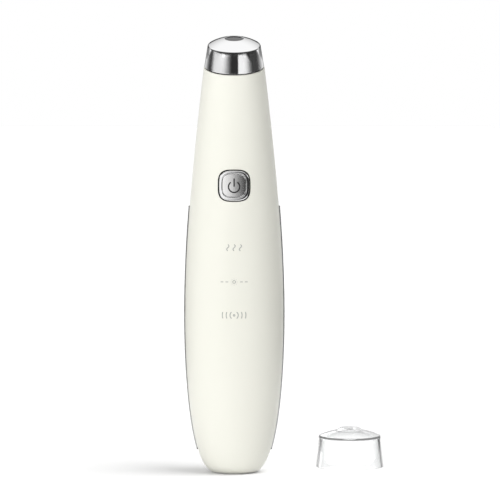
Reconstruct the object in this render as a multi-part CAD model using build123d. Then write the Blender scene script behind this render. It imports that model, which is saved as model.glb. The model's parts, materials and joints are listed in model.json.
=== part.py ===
from build123d import *
import os
from math import cos, hypot, pi, radians, sin, sqrt, tan

# A heated eye massager wand that stands on its foot, with its clear cap beside it.
# Millimetres, +Z up. The origin is the centre of the flat foot, on the surface that carries it.
# The button faces -Y, and the cap stands towards +X.

# Handle, outside
body_width = 36.4
body_depth = 33.4
belly_height = 58.6
foot_width = 11.8
foot_depth = 11.2
foot_fullness = 0.37
lower_sections = 8
upper_sections = 8
neck_width = 22.2
taper_blend = 60.0
straight_height = 100.0
neck_arc_length = 50.8
head_tilt = 16.5
wall = 2.0

# Seam between the two shells
tongue_height = 1.2
tongue_low = 12.0
tongue_high = 96.0

# Side trim strips
trim_low = 8.6
trim_high = 98.9
trim_proud = 0.42
trim_depth = 0.8
trim_thickness = 1.0

# Massage head
head_base_width = 21.9
head_top_width = 19.3
head_side_height = 8.4
head_dome_rise = 2.8
head_wall = 1.0
head_crown = 0.9
head_edge_radius = 0.35
window_width = 6.9
lens_recess = 0.35
lens_flange_width = 8.6
lens_flange_height = 0.8

# Parts inside the head
heater_thickness = 0.3
heater_width = 16.6
heater_hole_width = 9.2
heater_lead_angles = (200.0, 260.0)
thermistor_length = 1.8
thermistor_width = 1.2
thermistor_height = 0.8
led_board_width = 16.4
led_board_thickness = 1.0
led_board_height = 4.2
red_led_count = 3
red_led_size = 1.8
red_led_height = 0.8
red_led_circle = 3.8

# Core that carries the head and the motor
neck_bore_width = 18.4
neck_bore_depth = 6.2
core_tube_bore = 14.4
core_flange_width = 19.0
core_web = 1.2
o_ring_width = 1.2
o_ring_height = -3.4

# Vibration motor, measured down from the head's base
motor_width = 8.0
motor_length = 14.0
motor_top = -14.0
motor_can_wall = 0.3
motor_sleeve_thickness = 0.8
motor_tube_wall = 0.9
motor_cap_thickness = 1.5
magnet_thickness = 0.7
magnet_length = 9.0
armature_width = 5.2
armature_length = 7.0
shaft_width = 1.5
shaft_top = -8.2
weight_width = 7.2
weight_length = 4.0
weight_gap = 0.5
bearing_gap = 0.04

# Power button
button_height = 106.8
bezel_width = 11.9
bezel_height = 11.7
bezel_corner = 4.2
bezel_rim = 1.45
bezel_proud = 0.6
bezel_depth = 2.8
bezel_edge_radius = 0.3
button_side_gap = 0.15
button_proud = 0.3
button_travel = 0.4
button_flange = 0.6
button_flange_thickness = 0.8
button_edge_radius = 0.2
stem_width = 3.0
symbol_width = 4.6
symbol_stroke = 0.5
symbol_depth = 0.25
symbol_drop = 0.4
symbol_gap_angle = 70.0
symbol_bar_length = 3.1

# Carrier frame
frame_back = -2.8
frame_thickness = 1.2
frame_low = 8.4
frame_high = 108.0
frame_half_width = 12.7
frame_end_half_width = 8.6
frame_shoulder_low = 30.0
frame_shoulder_high = 101.0
saddle_heights = (30.0, 62.0)
saddle_thickness = 2.5
saddle_edge = 1.6

# Screws
post_side = 10.5
post_heights = (36.0, 96.0)
post_width = 4.4
frame_screw_width = 2.0
frame_screw_length = 6.0
board_screw_width = 1.6
screw_head_share = 1.9
screw_head_height = 1.1
board_screw_places = ((-5.2, 47.6), (5.2, 96.5))

# Main board
board_width = 14.0
board_low = 44.0
board_high = 117.0
board_thickness = 1.2
switch_size = 6.0
switch_height = 3.4
plunger_width = 2.0
plunger_proud = 1.0
connector_width = 8.0
connector_depth = 3.2
connector_low = 111.4
connector_height = 4.0
indicator_heights = (83.4, 70.6, 58.2)
indicator_led_width = 1.6
indicator_led_height = 0.8
shroud_width = 8.0
shroud_margin = 5.0
shroud_wall = 0.8
shroud_channel_height = 7.0
chip_gap = 0.6
controller_size = 5.0
controller_height = 0.9
coil_size = 3.0
coil_height = 1.8

# Battery
battery_width = 14.0
battery_length = 50.0
battery_low = 21.0
pad_width = 8.0
pad_height = 16.0

# Charging socket
charge_board_width = 11.0
charge_board_front = -8.8
charge_board_back = 8.6
charge_board_thickness = 1.0
shelf_height = 9.6
shelf_thickness = 1.2
shelf_back = 7.0
usb_width = 8.94
usb_height = 3.26
usb_length = 7.3
usb_wall = 0.3
usb_recess = 0.6
usb_side_gap = 0.15
tongue_plate_width = 6.6
tongue_plate_thickness = 0.7
tongue_plate_length = 5.2

# Leads
lead_width = 0.8
lead_spacing = 1.3
head_lead_circle = 12.9
head_lead_count = 4
lead_hole_gap = 0.15
charge_lead_forward = -7.4
motor_lead_drop = 3.2
battery_lead_rise = 8.0
battery_lead_side = 2.4

# Protective cap
cap_side = 43.3
cap_back = 17.0
cap_wall = 1.0
cap_base_gap = 0.8
cap_shoulder_gap = 1.0
cap_skirt = 2.4
cap_dome_rise = 2.5
cap_disc_width = 6.4
cap_disc_base_width = 10.4
cap_disc_rise = 0.6
cap_edge_radius = 0.8

# Clearances
slip_gap = 0.05
seat_gap = 0.3
cut_margin = 1.0

# Sizes that follow from the ones above
spine_length = straight_height + neck_arc_length
spine_radius = neck_arc_length / radians(head_tilt)
frame_front = frame_back - frame_thickness
board_front = frame_front - board_thickness
battery_middle = frame_back + seat_gap + battery_width / 2
head_base = head_base_width / 2
head_top = head_top_width / 2
head_ceiling = head_side_height - head_crown
window = window_width / 2
core_bore = core_tube_bore / 2
core_tube = neck_bore_width / 2 - slip_gap
motor_radius = motor_width / 2
motor_tube_bore = motor_radius + motor_sleeve_thickness
motor_tube = motor_tube_bore + motor_tube_wall
motor_bottom = motor_top - motor_length
charge_board_low = shelf_height + shelf_thickness
charge_board_top = charge_board_low + charge_board_thickness
usb_middle = charge_board_top + usb_height / 2


def half_size(s, foot, belly, neck):
    """Half the width or depth at s along the spine: round at the foot, then an even taper."""
    if s <= belly_height:
        v = 1 - s / belly_height
        return (foot + (belly - foot) * (1 - v * v) ** foot_fullness) / 2
    drop = hypot(s - belly_height, taper_blend) - taper_blend
    full_drop = hypot(spine_length - belly_height, taper_blend) - taper_blend
    return (belly - (belly - neck) * drop / full_drop) / 2


def half_width(s):
    return half_size(s, foot_width, body_width, neck_width)


def half_depth(s):
    return half_size(s, foot_depth, body_depth, neck_width)


def spine_plane(s):
    """The plane across the handle at s along its spine, which is straight and then leans to -Y."""
    lean = max(0.0, s - straight_height) / spine_radius
    y = -spine_radius * (1 - cos(lean))
    z = min(s, straight_height) + spine_radius * sin(lean)
    return Plane(origin=(0, y, z), x_dir=(1, 0, 0), z_dir=(0, -sin(lean), cos(lean)))


def section(s, inset):
    """The handle's outline at s, moved in square to its wall by inset."""
    low = max(0.0, s - 0.001)
    high = min(spine_length, s + 0.001)
    slope = (half_width(high) - half_width(low)) / (high - low)
    across = inset / hypot(1, slope)
    form = Ellipse(half_depth(s) - across, half_width(s) - across, rotation=90)
    return spine_plane(s + across * slope) * form


def handle(inset=0.0):
    """The handle's solid form, with its wall moved in by inset."""
    lower = [belly_height * (i / lower_sections) ** 3.3 for i in range(lower_sections)]
    rise = (spine_length - belly_height) / upper_sections
    upper = [belly_height + rise * i for i in range(upper_sections + 1)]
    return loft([section(s, inset) for s in lower + upper])


def turned(*edges):
    """A solid turned about Z from its half section, whose edges are in radius and height."""
    return revolve(Plane.XZ * make_face(Curve() + list(edges)), Axis.Z)


def outline(*points):
    return Polyline(*points, close=True)


def tube(outer, inner, low, high):
    return turned(outline((inner, low), (outer, low), (outer, high), (inner, high)))


def disc(radius, low, high):
    return Pos(0, 0, (low + high) / 2) * Cylinder(radius, high - low)


def block(x0, x1, y0, y1, z0, z1):
    return Pos((x0 + x1) / 2, (y0 + y1) / 2, (z0 + z1) / 2) * Box(x1 - x0, y1 - y0, z1 - z0)


def prism(sketch, x, z, front, back):
    """A prism along Y between front and back, of a sketch drawn as seen from -Y."""
    return extrude(Pos(x, back, z) * (Plane.XZ * sketch), amount=back - front)


def rod(radius, x, z, front, back):
    return prism(Circle(radius), x, z, front, back)


def in_head(part):
    """Moves a part drawn about Z, with the head's base at height 0, to its place on the neck."""
    return spine_plane(spine_length).location * part


def head_point(x, y, height):
    plane = spine_plane(spine_length)
    return plane.origin + plane.x_dir * x + plane.y_dir * y + plane.z_dir * height


def front_space():
    """All that lies in front of the seam, which follows the spine."""
    reach = body_width
    start = (0, -cut_margin)
    upright = Line(start, (0, straight_height))
    lean = JernArc(start=upright @ 1, tangent=upright % 1, radius=spine_radius, arc_size=head_tilt)
    beyond = Line(lean @ 1, lean @ 1 + (lean % 1) * reach)
    top = beyond @ 1
    rest = Polyline((top.X, top.Y), (-2 * reach, top.Y), (-2 * reach, -cut_margin), start)
    return extrude(Plane.YZ * make_face(upright + lean + beyond + rest), amount=reach, both=True)


def seam_slab(thickness, low, high):
    reach = body_width
    return block(-reach, reach, -thickness, 0, low, high)


def trim_slab(side, gap):
    half = trim_thickness / 2 + gap
    near, far = sorted((0, side * body_width))
    return block(near, far, -half, half, trim_low - gap, trim_high + gap)


def button_outline(inset):
    corner = bezel_corner - inset
    return RectangleRounded(bezel_width - 2 * inset, bezel_height - 2 * inset, corner)


def bezel_back():
    return -half_depth(button_height) + bezel_depth


def usb_opening():
    """The rear wall's cut for the charging socket."""
    mouth = SlotOverall(usb_width + 2 * usb_side_gap, usb_height + 2 * usb_side_gap)
    return prism(mouth, 0, usb_middle, 0, body_depth)


def shell():
    """Both shells in one: the hollow handle with the neck's bore and the strips' grooves."""
    hollow = handle(wall) - in_head(disc(neck_width / 2, -neck_bore_depth, cut_margin))
    bore = in_head(disc(neck_bore_width / 2, -neck_bore_depth - cut_margin, cut_margin))
    whole = handle() - hollow - bore
    groove_form = handle(trim_depth + slip_gap)
    for side in (-1, 1):
        whole -= trim_slab(side, slip_gap) - groove_form
    return whole


def seam_tongue(gap):
    """A ridge along both seams, on the rear shell's inner half of the wall."""
    outer = handle(wall / 2 + slip_gap - gap)
    ridge = seam_slab(tongue_height + gap, tongue_low - gap, tongue_high + gap)
    return (outer - handle(wall)) & ridge


def front_shell():
    body = shell() & front_space()
    body -= seam_tongue(slip_gap)
    posts = Part()
    pilots = Part()
    for x in (-post_side, post_side):
        for z in post_heights:
            posts += rod(post_width / 2, x, z, -body_depth / 2, frame_front)
            end = frame_back - frame_screw_length - seat_gap
            pilots += rod(frame_screw_width / 2 + slip_gap, x, z, end, frame_front)
    body += posts & handle(wall / 2)
    opening = prism(button_outline(-slip_gap), 0, button_height, -body_depth, 0)
    return body - pilots - opening


def rear_shell():
    return (shell() - front_space()) + seam_tongue(0) - usb_opening()


def trim_strip(side):
    return (handle(-trim_proud) - handle(trim_depth)) & trim_slab(side, 0)


def head_side_inner(height):
    """The head's inner radius at a height above its base."""
    return head_base - head_wall - (head_base - head_top) * height / head_side_height


def dome_radius():
    return (head_top**2 + head_dome_rise**2) / (2 * head_dome_rise)


def dome_height(radius):
    """The crown's height above the head's base, at a radius."""
    ball = dome_radius()
    return head_side_height + head_dome_rise - ball + sqrt(ball**2 - radius**2)


def massage_head():
    half_way = (head_top + window) / 2
    crown = ThreePointArc(
        (head_top, head_side_height), (half_way, dome_height(half_way)), (window, dome_height(window))
    )
    side = Polyline((head_side_inner(0), 0), (head_base, 0), (head_top, head_side_height))
    inside = Polyline(
        (window, dome_height(window)),
        (window, head_ceiling),
        (head_side_inner(head_ceiling), head_ceiling),
        (head_side_inner(0), 0),
    )
    head = turned(side, crown, inside)
    rim = head.edges().filter_by(GeomType.CIRCLE).filter_by(lambda e: abs(e.radius - head_top) < 0.01)
    return in_head(fillet(rim, head_edge_radius))


def head_lens():
    lens = disc(window - slip_gap, head_ceiling, dome_height(window) - lens_recess)
    flange = disc(lens_flange_width / 2, head_ceiling - lens_flange_height, head_ceiling)
    return in_head(lens + flange)


def heater_film():
    low = head_ceiling - heater_thickness
    return in_head(tube(heater_width / 2, heater_hole_width / 2, low, head_ceiling))


def heater_circle():
    return (heater_width + heater_hole_width) / 4


def heater_leads():
    """Two short pins from the light board up to the heater."""
    low = led_board_height + led_board_thickness
    pin = disc(lead_width / 2, low, head_ceiling - heater_thickness)
    return in_head(Part() + [Rot(0, 0, a) * Pos(heater_circle(), 0, 0) * pin for a in heater_lead_angles])


def thermistor():
    high = head_ceiling - heater_thickness
    bead = Box(thermistor_length, thermistor_width, thermistor_height)
    return in_head(Pos(0, heater_circle(), high - thermistor_height / 2) * bead)


def led_board():
    low = led_board_height
    return in_head(disc(led_board_width / 2, low, low + led_board_thickness))


def red_leds():
    low = led_board_height + led_board_thickness
    cube = Box(red_led_size, red_led_size, red_led_height)
    lamp = Pos(red_led_circle / 2, 0, low + red_led_height / 2) * cube
    angles = [90 + 360 * i / red_led_count for i in range(red_led_count)]
    return in_head(Part() + [Rot(0, 0, a) * lamp for a in angles])


def head_lead_places():
    """Where the head's leads run, as x and y about the head's axis, on the front side."""
    first = -90 - (head_lead_count - 1) * lead_pitch() / 2
    angles = [first + i * lead_pitch() for i in range(head_lead_count)]
    radius = head_lead_circle / 2
    return [(radius * cos(radians(a)), radius * sin(radians(a))) for a in angles]


def lead_pitch():
    """The angle between neighbouring leads on their circle."""
    return 360 * lead_spacing / (pi * head_lead_circle)


def head_core():
    """The moulding that plugs into the neck, carries the head and holds the motor in a tube."""
    top = led_board_height
    flange_top = -neck_bore_depth - slip_gap
    flange_low = flange_top - core_web
    tube_end = motor_bottom + motor_cap_thickness
    flange = core_flange_width / 2
    core = turned(
        outline(
            (core_bore, top),
            (head_side_inner(top) - slip_gap, top),
            (head_side_inner(0) - slip_gap, 0),
            (core_tube, 0),
            (core_tube, flange_top),
            (flange, flange_top),
            (flange, flange_low),
            (motor_tube, flange_low),
            (motor_tube, tube_end),
            (motor_tube_bore, tube_end),
            (motor_tube_bore, flange_top),
            (core_bore, flange_top),
        )
    )
    ring_room = o_ring_width / 2 + slip_gap
    inner = core_tube - 2 * ring_room
    groove = tube(core_tube + slip_gap, inner, o_ring_height - ring_room, o_ring_height + ring_room)
    hole = disc(lead_width / 2 + lead_hole_gap, flange_low - cut_margin, flange_top + cut_margin)
    holes = Part() + [Pos(x, y, 0) * hole for x, y in head_lead_places()]
    return in_head(core - groove - holes)


def head_o_ring():
    middle = core_tube - o_ring_width / 2
    return in_head(Pos(0, 0, o_ring_height) * Torus(middle, o_ring_width / 2))


def motor_can():
    inner = motor_radius - motor_can_wall
    hole = shaft_width / 2 + bearing_gap
    can = turned(
        outline(
            (inner, motor_bottom),
            (motor_radius, motor_bottom),
            (motor_radius, motor_top),
            (hole, motor_top),
            (hole, motor_top - motor_can_wall),
            (inner, motor_top - motor_can_wall),
        )
    )
    return in_head(can)


def motor_inside_middle():
    return (motor_top + motor_bottom + motor_cap_thickness) / 2


def motor_magnets():
    """Two curved magnets against the can's wall, open at the front and back."""
    outer = motor_radius - motor_can_wall
    middle = motor_inside_middle()
    ring = tube(outer, outer - magnet_thickness, middle - magnet_length / 2, middle + magnet_length / 2)
    gap = block(-outer / 2, outer / 2, -outer, outer, motor_bottom, motor_top)
    return in_head(ring - gap)


def motor_armature():
    middle = motor_inside_middle()
    low, high = middle - armature_length / 2, middle + armature_length / 2
    return in_head(tube(armature_width / 2, shaft_width / 2, low, high))


def motor_shaft():
    return in_head(disc(shaft_width / 2, motor_bottom + motor_cap_thickness / 3, shaft_top))


def motor_end_cap():
    """The plug in the can's lower end, with a blind bearing for the shaft."""
    plug = disc(motor_radius - motor_can_wall, motor_bottom, motor_bottom + motor_cap_thickness)
    low = motor_bottom + motor_cap_thickness / 3 - bearing_gap
    bearing = disc(shaft_width / 2 + bearing_gap, low, motor_top)
    return in_head(plug - bearing)


def motor_sleeve():
    low = motor_bottom + motor_cap_thickness
    return in_head(tube(motor_tube_bore, motor_radius, low, motor_top))


def eccentric_weight():
    high = shaft_top - weight_gap
    low = high - weight_length
    whole = tube(weight_width / 2, shaft_width / 2, low, high)
    hub = tube(shaft_width / 2 + motor_can_wall, shaft_width / 2, low, high)
    front_half = block(-weight_width, weight_width, -weight_width, 0, low, high)
    return in_head((whole & front_half) + hub)


def button_bezel():
    ring = button_outline(0) - button_outline(bezel_rim)
    bezel = prism(ring, 0, button_height, -body_depth, bezel_back()) & handle(-bezel_proud)
    front = bezel.faces().sort_by(Axis.Y)[0]
    return fillet(front.edges(), bezel_edge_radius)


def symbol_sketch():
    """The standard on/off mark: a ring open at the top, and a bar in the opening."""
    radius = symbol_width / 2
    ring = Circle(radius + symbol_stroke / 2) - Circle(radius - symbol_stroke / 2)
    side = symbol_width * tan(radians(symbol_gap_angle / 2))
    wedge = make_face(outline((0, 0), (side, symbol_width), (-side, symbol_width)))
    bar = Pos(0, symbol_bar_length / 2) * Rectangle(symbol_stroke, symbol_bar_length)
    return Pos(0, -symbol_drop) * (ring - wedge + bar)


def power_symbol():
    mark = prism(symbol_sketch(), 0, button_height, -body_depth, 0)
    return mark & (handle(-button_proud) - handle(symbol_depth - button_proud))


def power_button():
    """The pressed plate, with a flange behind the bezel and a stem to the switch."""
    face = button_outline(bezel_rim + button_side_gap)
    flange_front = bezel_back() + slip_gap
    flange_back = flange_front + button_flange_thickness
    plate = prism(face, 0, button_height, -body_depth, flange_back) & handle(-button_proud)
    rim = plate.faces().sort_by(Axis.Y)[0].edges()
    plate = fillet(rim, button_edge_radius)
    flange = prism(button_outline(bezel_rim - button_flange), 0, button_height, flange_front, flange_back)
    stem = rod(stem_width / 2, 0, button_height, flange_front, plunger_front())
    return plate + flange + stem - power_symbol()


def switch_front():
    return board_front - switch_height


def plunger_front():
    return switch_front() - plunger_proud


def switch_body():
    """The switch's case, with a blind hole as deep as the plunger travels."""
    case = prism(Rectangle(switch_size, switch_size), 0, button_height, switch_front(), board_front)
    floor = switch_front() + plunger_proud + button_travel + slip_gap
    hole = rod(plunger_width / 2 + slip_gap, 0, button_height, switch_front() - cut_margin, floor)
    return case - hole


def switch_plunger():
    return rod(plunger_width / 2, 0, button_height, plunger_front(), switch_front() + plunger_proud)


def board_screw_holes(radius, front, back):
    return Part() + [rod(radius, x, z, front, back) for x, z in board_screw_places]


def main_board():
    half = board_width / 2
    board = block(-half, half, board_front, frame_front, board_low, board_high)
    return board - board_screw_holes(board_screw_width / 2 + slip_gap, board_front, frame_front)


def board_screws():
    head = board_screw_width * screw_head_share / 2
    heads = board_screw_holes(head, board_front - screw_head_height, board_front)
    return heads + board_screw_holes(board_screw_width / 2, board_front, frame_back)


def indicator_leds():
    half = indicator_led_width / 2
    front = board_front - indicator_led_height
    return Part() + [block(-half, half, front, board_front, z - half, z + half) for z in indicator_heights]


def indicator_shroud():
    """A dark box with one channel for each indicator, from the board to the front wall."""
    half = shroud_width / 2
    low = min(indicator_heights) - shroud_margin
    high = max(indicator_heights) + shroud_margin
    box = block(-half, half, -body_depth / 2, board_front, low, high) & handle(wall + seat_gap)
    channel = Rectangle(shroud_width - 2 * shroud_wall, shroud_channel_height)
    for z in indicator_heights:
        box -= prism(channel, 0, z, -body_depth, board_front)
    return box


def board_chips():
    """The controller and the heater's choke, on the board's front between shroud and edge."""
    low = board_low + chip_gap
    front = board_front - controller_height
    controller = block(0, controller_size, front, board_front, low, low + controller_size)
    side = -board_width / 2 + chip_gap
    top = max(indicator_heights) + shroud_margin + chip_gap
    coil_front = board_front - coil_height
    coil = block(side, side + coil_size, coil_front, board_front, top, top + coil_size)
    return controller + coil


def head_connector():
    half = connector_width / 2
    high = connector_low + connector_height
    return block(-half, half, board_front - connector_depth, board_front, connector_low, high)


def inner_frame():
    """The carrier: a plate with battery saddles behind it and a shelf for the charging board."""
    wide = frame_half_width
    end = frame_end_half_width
    plate_outline = outline(
        (-end, frame_low),
        (end, frame_low),
        (wide, frame_shoulder_low),
        (wide, frame_shoulder_high),
        (end, frame_high),
        (-end, frame_high),
        (-wide, frame_shoulder_high),
        (-wide, frame_shoulder_low),
    )
    frame = prism(make_face(plate_outline), 0, 0, frame_front, frame_back)
    saddle = battery_width / 2 + saddle_edge
    for z in saddle_heights:
        low = z - saddle_thickness / 2
        frame += block(-saddle, saddle, frame_back, battery_middle, low, low + saddle_thickness)
    shelf = charge_board_width / 2
    frame += block(-shelf, shelf, frame_back, shelf_back, shelf_height, charge_board_low)
    high = battery_low + battery_length
    frame -= Pos(0, battery_middle, 0) * disc(battery_width / 2 + slip_gap, battery_low, high)
    slot = shelf + slip_gap
    frame -= block(-slot, slot, frame_front, frame_back, charge_board_low, charge_board_top + slip_gap)
    for x in (-post_side, post_side):
        for z in post_heights:
            frame -= rod(frame_screw_width / 2 + slip_gap, x, z, frame_front, frame_back)
    frame -= board_screw_holes(board_screw_width / 2 + slip_gap, frame_front, frame_back)
    window_low = battery_lead_height() - 2 * lead_spacing
    window_high = battery_lead_height() + 2 * lead_spacing
    side = battery_lead_side + lead_spacing
    return frame - block(-side, side, frame_front, frame_back, window_low, window_high)


def frame_screws():
    screws = Part()
    head = frame_screw_width * screw_head_share / 2
    for x in (-post_side, post_side):
        for z in post_heights:
            screws += rod(head, x, z, frame_back, frame_back + screw_head_height)
            screws += rod(frame_screw_width / 2, x, z, frame_back - frame_screw_length, frame_back)
    return screws


def battery_cell():
    high = battery_low + battery_length
    return Pos(0, battery_middle, 0) * disc(battery_width / 2, battery_low, high)


def battery_pad():
    """A foam block between the battery and the rear wall."""
    half = pad_width / 2
    middle = battery_low + battery_length / 2
    low, high = middle - pad_height / 2, middle + pad_height / 2
    pad = block(-half, half, battery_middle, body_depth / 2, low, high)
    return (pad & handle(wall + seat_gap)) - battery_cell()


def charge_board():
    half = charge_board_width / 2
    return block(
        -half, half, charge_board_front, charge_board_back, charge_board_low, charge_board_top
    )


def usb_mouth():
    """Where the socket's mouth lies: a little inside the rear wall's lowest point in its opening."""
    return half_depth(usb_middle - usb_height / 2) - usb_recess


def usb_socket():
    mouth = usb_mouth()
    back = mouth - usb_length
    can = prism(SlotOverall(usb_width, usb_height), 0, usb_middle, back, mouth)
    room = SlotOverall(usb_width - 2 * usb_wall, usb_height - 2 * usb_wall)
    return can - prism(room, 0, usb_middle, back + usb_wall, mouth)


def usb_tongue():
    back = usb_mouth() - usb_length + usb_wall
    plate = Rectangle(tongue_plate_width, tongue_plate_thickness)
    return prism(plate, 0, usb_middle, back, back + tongue_plate_length)


def bend_radii(points):
    """An easy bend at each corner: 0.45 of its shorter run, over the tangent of half its turn."""
    radii = []
    for before, corner, after in zip(points, points[1:], points[2:]):
        into, out = corner - before, after - corner
        half_turn = radians(into.get_angle(out)) / 2
        radii.append(0.45 * min(into.length, out.length) / tan(half_turn))
    return radii


def lead(*points):
    """A round lead along straight runs joined by tangent arcs."""
    points = [Vector(p) for p in points]
    path = FilletPolyline(*points, radius=bend_radii(points))
    ring = Plane(origin=path @ 0, z_dir=path % 0) * Circle(lead_width / 2)
    return sweep(ring, path=path)


def head_leads():
    """From the light board, past the motor, to the connector at the top of the main board."""
    y_end = board_front - connector_depth / 2
    leads = Part()
    for x, y in head_lead_places():
        start = head_point(x, y, led_board_height)
        below = head_point(x, y, led_board_height - 1)
        turn = start + (below - start) * (y_end - start.Y) / (below.Y - start.Y)
        leads += lead(start, turn, (x, y_end, connector_low + connector_height))
    return leads


def motor_leads():
    """From the motor's lower end to the back of the main board, above the frame."""
    leads = Part()
    for x in (-lead_spacing, lead_spacing):
        start = head_point(x, motor_radius / 3, motor_bottom)
        below = head_point(x, motor_radius / 3, motor_bottom - motor_lead_drop)
        height = (frame_high + board_high) / 2
        turn = (x, frame_front + motor_lead_drop, height)
        leads += lead(start, below, turn, (x, frame_front, height))
    return leads


def battery_lead_height():
    return battery_low + battery_length + battery_lead_rise


def battery_leads():
    """From the top of the cell, through the frame's window, to the back of the main board."""
    leads = Part()
    for x in (-battery_lead_side, battery_lead_side):
        start = (x, battery_middle, battery_low + battery_length)
        turn = (x, battery_middle, battery_lead_height())
        leads += lead(start, turn, (x, frame_front, battery_lead_height()))
    return leads


def charge_leads():
    """From the charging board up to the main board's lower end."""
    y_end = (board_front + frame_front) / 2
    rise = board_low - charge_board_top
    leads = Part()
    for x in (-2 * lead_spacing, 2 * lead_spacing):
        start = (x, charge_lead_forward, charge_board_top)
        first = (x, charge_lead_forward, charge_board_top + rise / 3)
        second = (x, y_end, charge_board_top + 2 * rise / 3)
        leads += lead(start, first, second, (x, y_end, board_low))
    return leads


def cap_form(thinner):
    """The cap's form, thinner all over by that much: a cone, a shallow dome and a low raised disc."""
    base = neck_width / 2 + cap_base_gap + cap_wall - thinner
    shoulder = head_top + cap_shoulder_gap + cap_wall - thinner
    side_height = head_side_height + cap_skirt + cap_wall - thinner
    ball = (shoulder**2 + cap_dome_rise**2) / (2 * cap_dome_rise)

    def dome(radius):
        return side_height + cap_dome_rise - ball + sqrt(ball**2 - radius**2)

    disc_base = (cap_disc_base_width - thinner) / 2
    disc_top = (cap_disc_width - thinner) / 2
    half_way = (shoulder + disc_base) / 2
    top = side_height + cap_dome_rise + cap_disc_rise
    side = Polyline((0, 0), (base, 0), (shoulder, side_height))
    crown = ThreePointArc(
        (shoulder, side_height), (half_way, dome(half_way)), (disc_base, dome(disc_base))
    )
    return turned(side, crown, Polyline((disc_base, dome(disc_base)), (disc_top, top), (0, top), (0, 0)))


def protective_cap():
    """A clear cup, mouth down, with a low raised disc in the middle of its domed top."""
    outside = cap_form(0)
    rims = outside.edges().filter_by(GeomType.CIRCLE)
    shoulder = head_top + cap_shoulder_gap + cap_wall
    rims = rims.filter_by(lambda e: abs(e.radius - shoulder) < slip_gap)
    return Pos(cap_side, cap_back, 0) * (fillet(rims, cap_edge_radius) - cap_form(cap_wall))


PARTS = {
    "front_shell": front_shell,
    "rear_shell": rear_shell,
    "left_trim_strip": lambda: trim_strip(-1),
    "right_trim_strip": lambda: trim_strip(1),
    "massage_head": massage_head,
    "head_lens": head_lens,
    "heater_film": heater_film,
    "heater_leads": heater_leads,
    "thermistor": thermistor,
    "led_board": led_board,
    "red_leds": red_leds,
    "head_core": head_core,
    "head_o_ring": head_o_ring,
    "motor_can": motor_can,
    "motor_magnets": motor_magnets,
    "motor_armature": motor_armature,
    "motor_shaft": motor_shaft,
    "motor_end_cap": motor_end_cap,
    "motor_sleeve": motor_sleeve,
    "eccentric_weight": eccentric_weight,
    "button_bezel": button_bezel,
    "power_button": power_button,
    "power_symbol": power_symbol,
    "switch_body": switch_body,
    "switch_plunger": switch_plunger,
    "main_board": main_board,
    "board_screws": board_screws,
    "board_chips": board_chips,
    "indicator_leds": indicator_leds,
    "indicator_shroud": indicator_shroud,
    "head_connector": head_connector,
    "inner_frame": inner_frame,
    "frame_screws": frame_screws,
    "battery_cell": battery_cell,
    "battery_pad": battery_pad,
    "charge_board": charge_board,
    "usb_socket": usb_socket,
    "usb_tongue": usb_tongue,
    "head_leads": head_leads,
    "motor_leads": motor_leads,
    "battery_leads": battery_leads,
    "charge_leads": charge_leads,
    "protective_cap": protective_cap,
}

os.makedirs("parts", exist_ok=True)
for name, make in PARTS.items():
    export_step(make(), f"parts/{name}.step")
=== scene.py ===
"""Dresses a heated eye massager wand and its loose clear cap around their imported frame."""

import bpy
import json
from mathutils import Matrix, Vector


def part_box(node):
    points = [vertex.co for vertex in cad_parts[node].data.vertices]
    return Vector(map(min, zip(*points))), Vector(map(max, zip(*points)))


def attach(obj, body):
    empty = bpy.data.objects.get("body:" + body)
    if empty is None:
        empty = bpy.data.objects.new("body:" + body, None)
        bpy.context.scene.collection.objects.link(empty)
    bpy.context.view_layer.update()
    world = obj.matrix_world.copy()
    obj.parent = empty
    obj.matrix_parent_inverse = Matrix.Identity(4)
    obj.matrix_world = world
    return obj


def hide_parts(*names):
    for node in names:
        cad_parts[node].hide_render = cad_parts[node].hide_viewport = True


bl_info = {
    "name": "Eye massager wand",
    "version": (1, 0, 0),
    "blender": (4, 5, 0),
    "location": "View3D > Sidebar > Wand",
    "description": "Shapes and finishes for a heated eye massager wand and its clear cap",
    "category": "Object",
}

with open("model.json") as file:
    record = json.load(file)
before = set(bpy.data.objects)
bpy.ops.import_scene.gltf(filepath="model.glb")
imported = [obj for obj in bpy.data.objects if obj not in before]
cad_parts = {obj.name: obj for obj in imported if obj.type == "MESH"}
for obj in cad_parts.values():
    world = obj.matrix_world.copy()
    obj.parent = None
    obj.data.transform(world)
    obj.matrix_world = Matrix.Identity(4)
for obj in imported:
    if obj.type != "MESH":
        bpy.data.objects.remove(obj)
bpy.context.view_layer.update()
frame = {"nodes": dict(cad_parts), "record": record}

import json
import math

import bmesh
import bpy
import numpy as np
from bpy.props import FloatProperty, FloatVectorProperty, PointerProperty
from mathutils import Vector

MM = 0.001
FRONT, REAR = -1, 1
HAIR = 0.004 * MM  # too small a step to see, which keeps an edge sharp
SLIGHT = 0.01 * MM  # a margin where two sizes are compared
JOIN = 0.001 * MM  # points closer than this become one
SHARP = 40  # an edge that bends more than this many degrees stays sharp
ROUND = 192  # points round a large turned piece
PLASTIC_IOR = 1.49
WHITE = (1, 1, 1, 1)
CARD_TONE = (0.03, 0.03, 0.03, 1)


# ---------------------------------------------------------------- sizes and colours


def length(name, description, millimetres):
    """A described size, given in millimetres and kept in metres."""
    return FloatProperty(
        name=name, description=description, default=millimetres * MM, unit="LENGTH", precision=5
    )


def number(name, description, default):
    """A described plain number."""
    return FloatProperty(name=name, description=description, default=default, precision=3)


def angle(name, description, degrees):
    """A described angle, given in degrees and kept in radians."""
    return FloatProperty(
        name=name, description=description, default=math.radians(degrees), subtype="ANGLE"
    )


def colour(name, description, default):
    """A described colour."""
    return FloatVectorProperty(
        name=name, description=description, default=default, size=3, subtype="COLOR", min=0, max=1
    )


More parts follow.
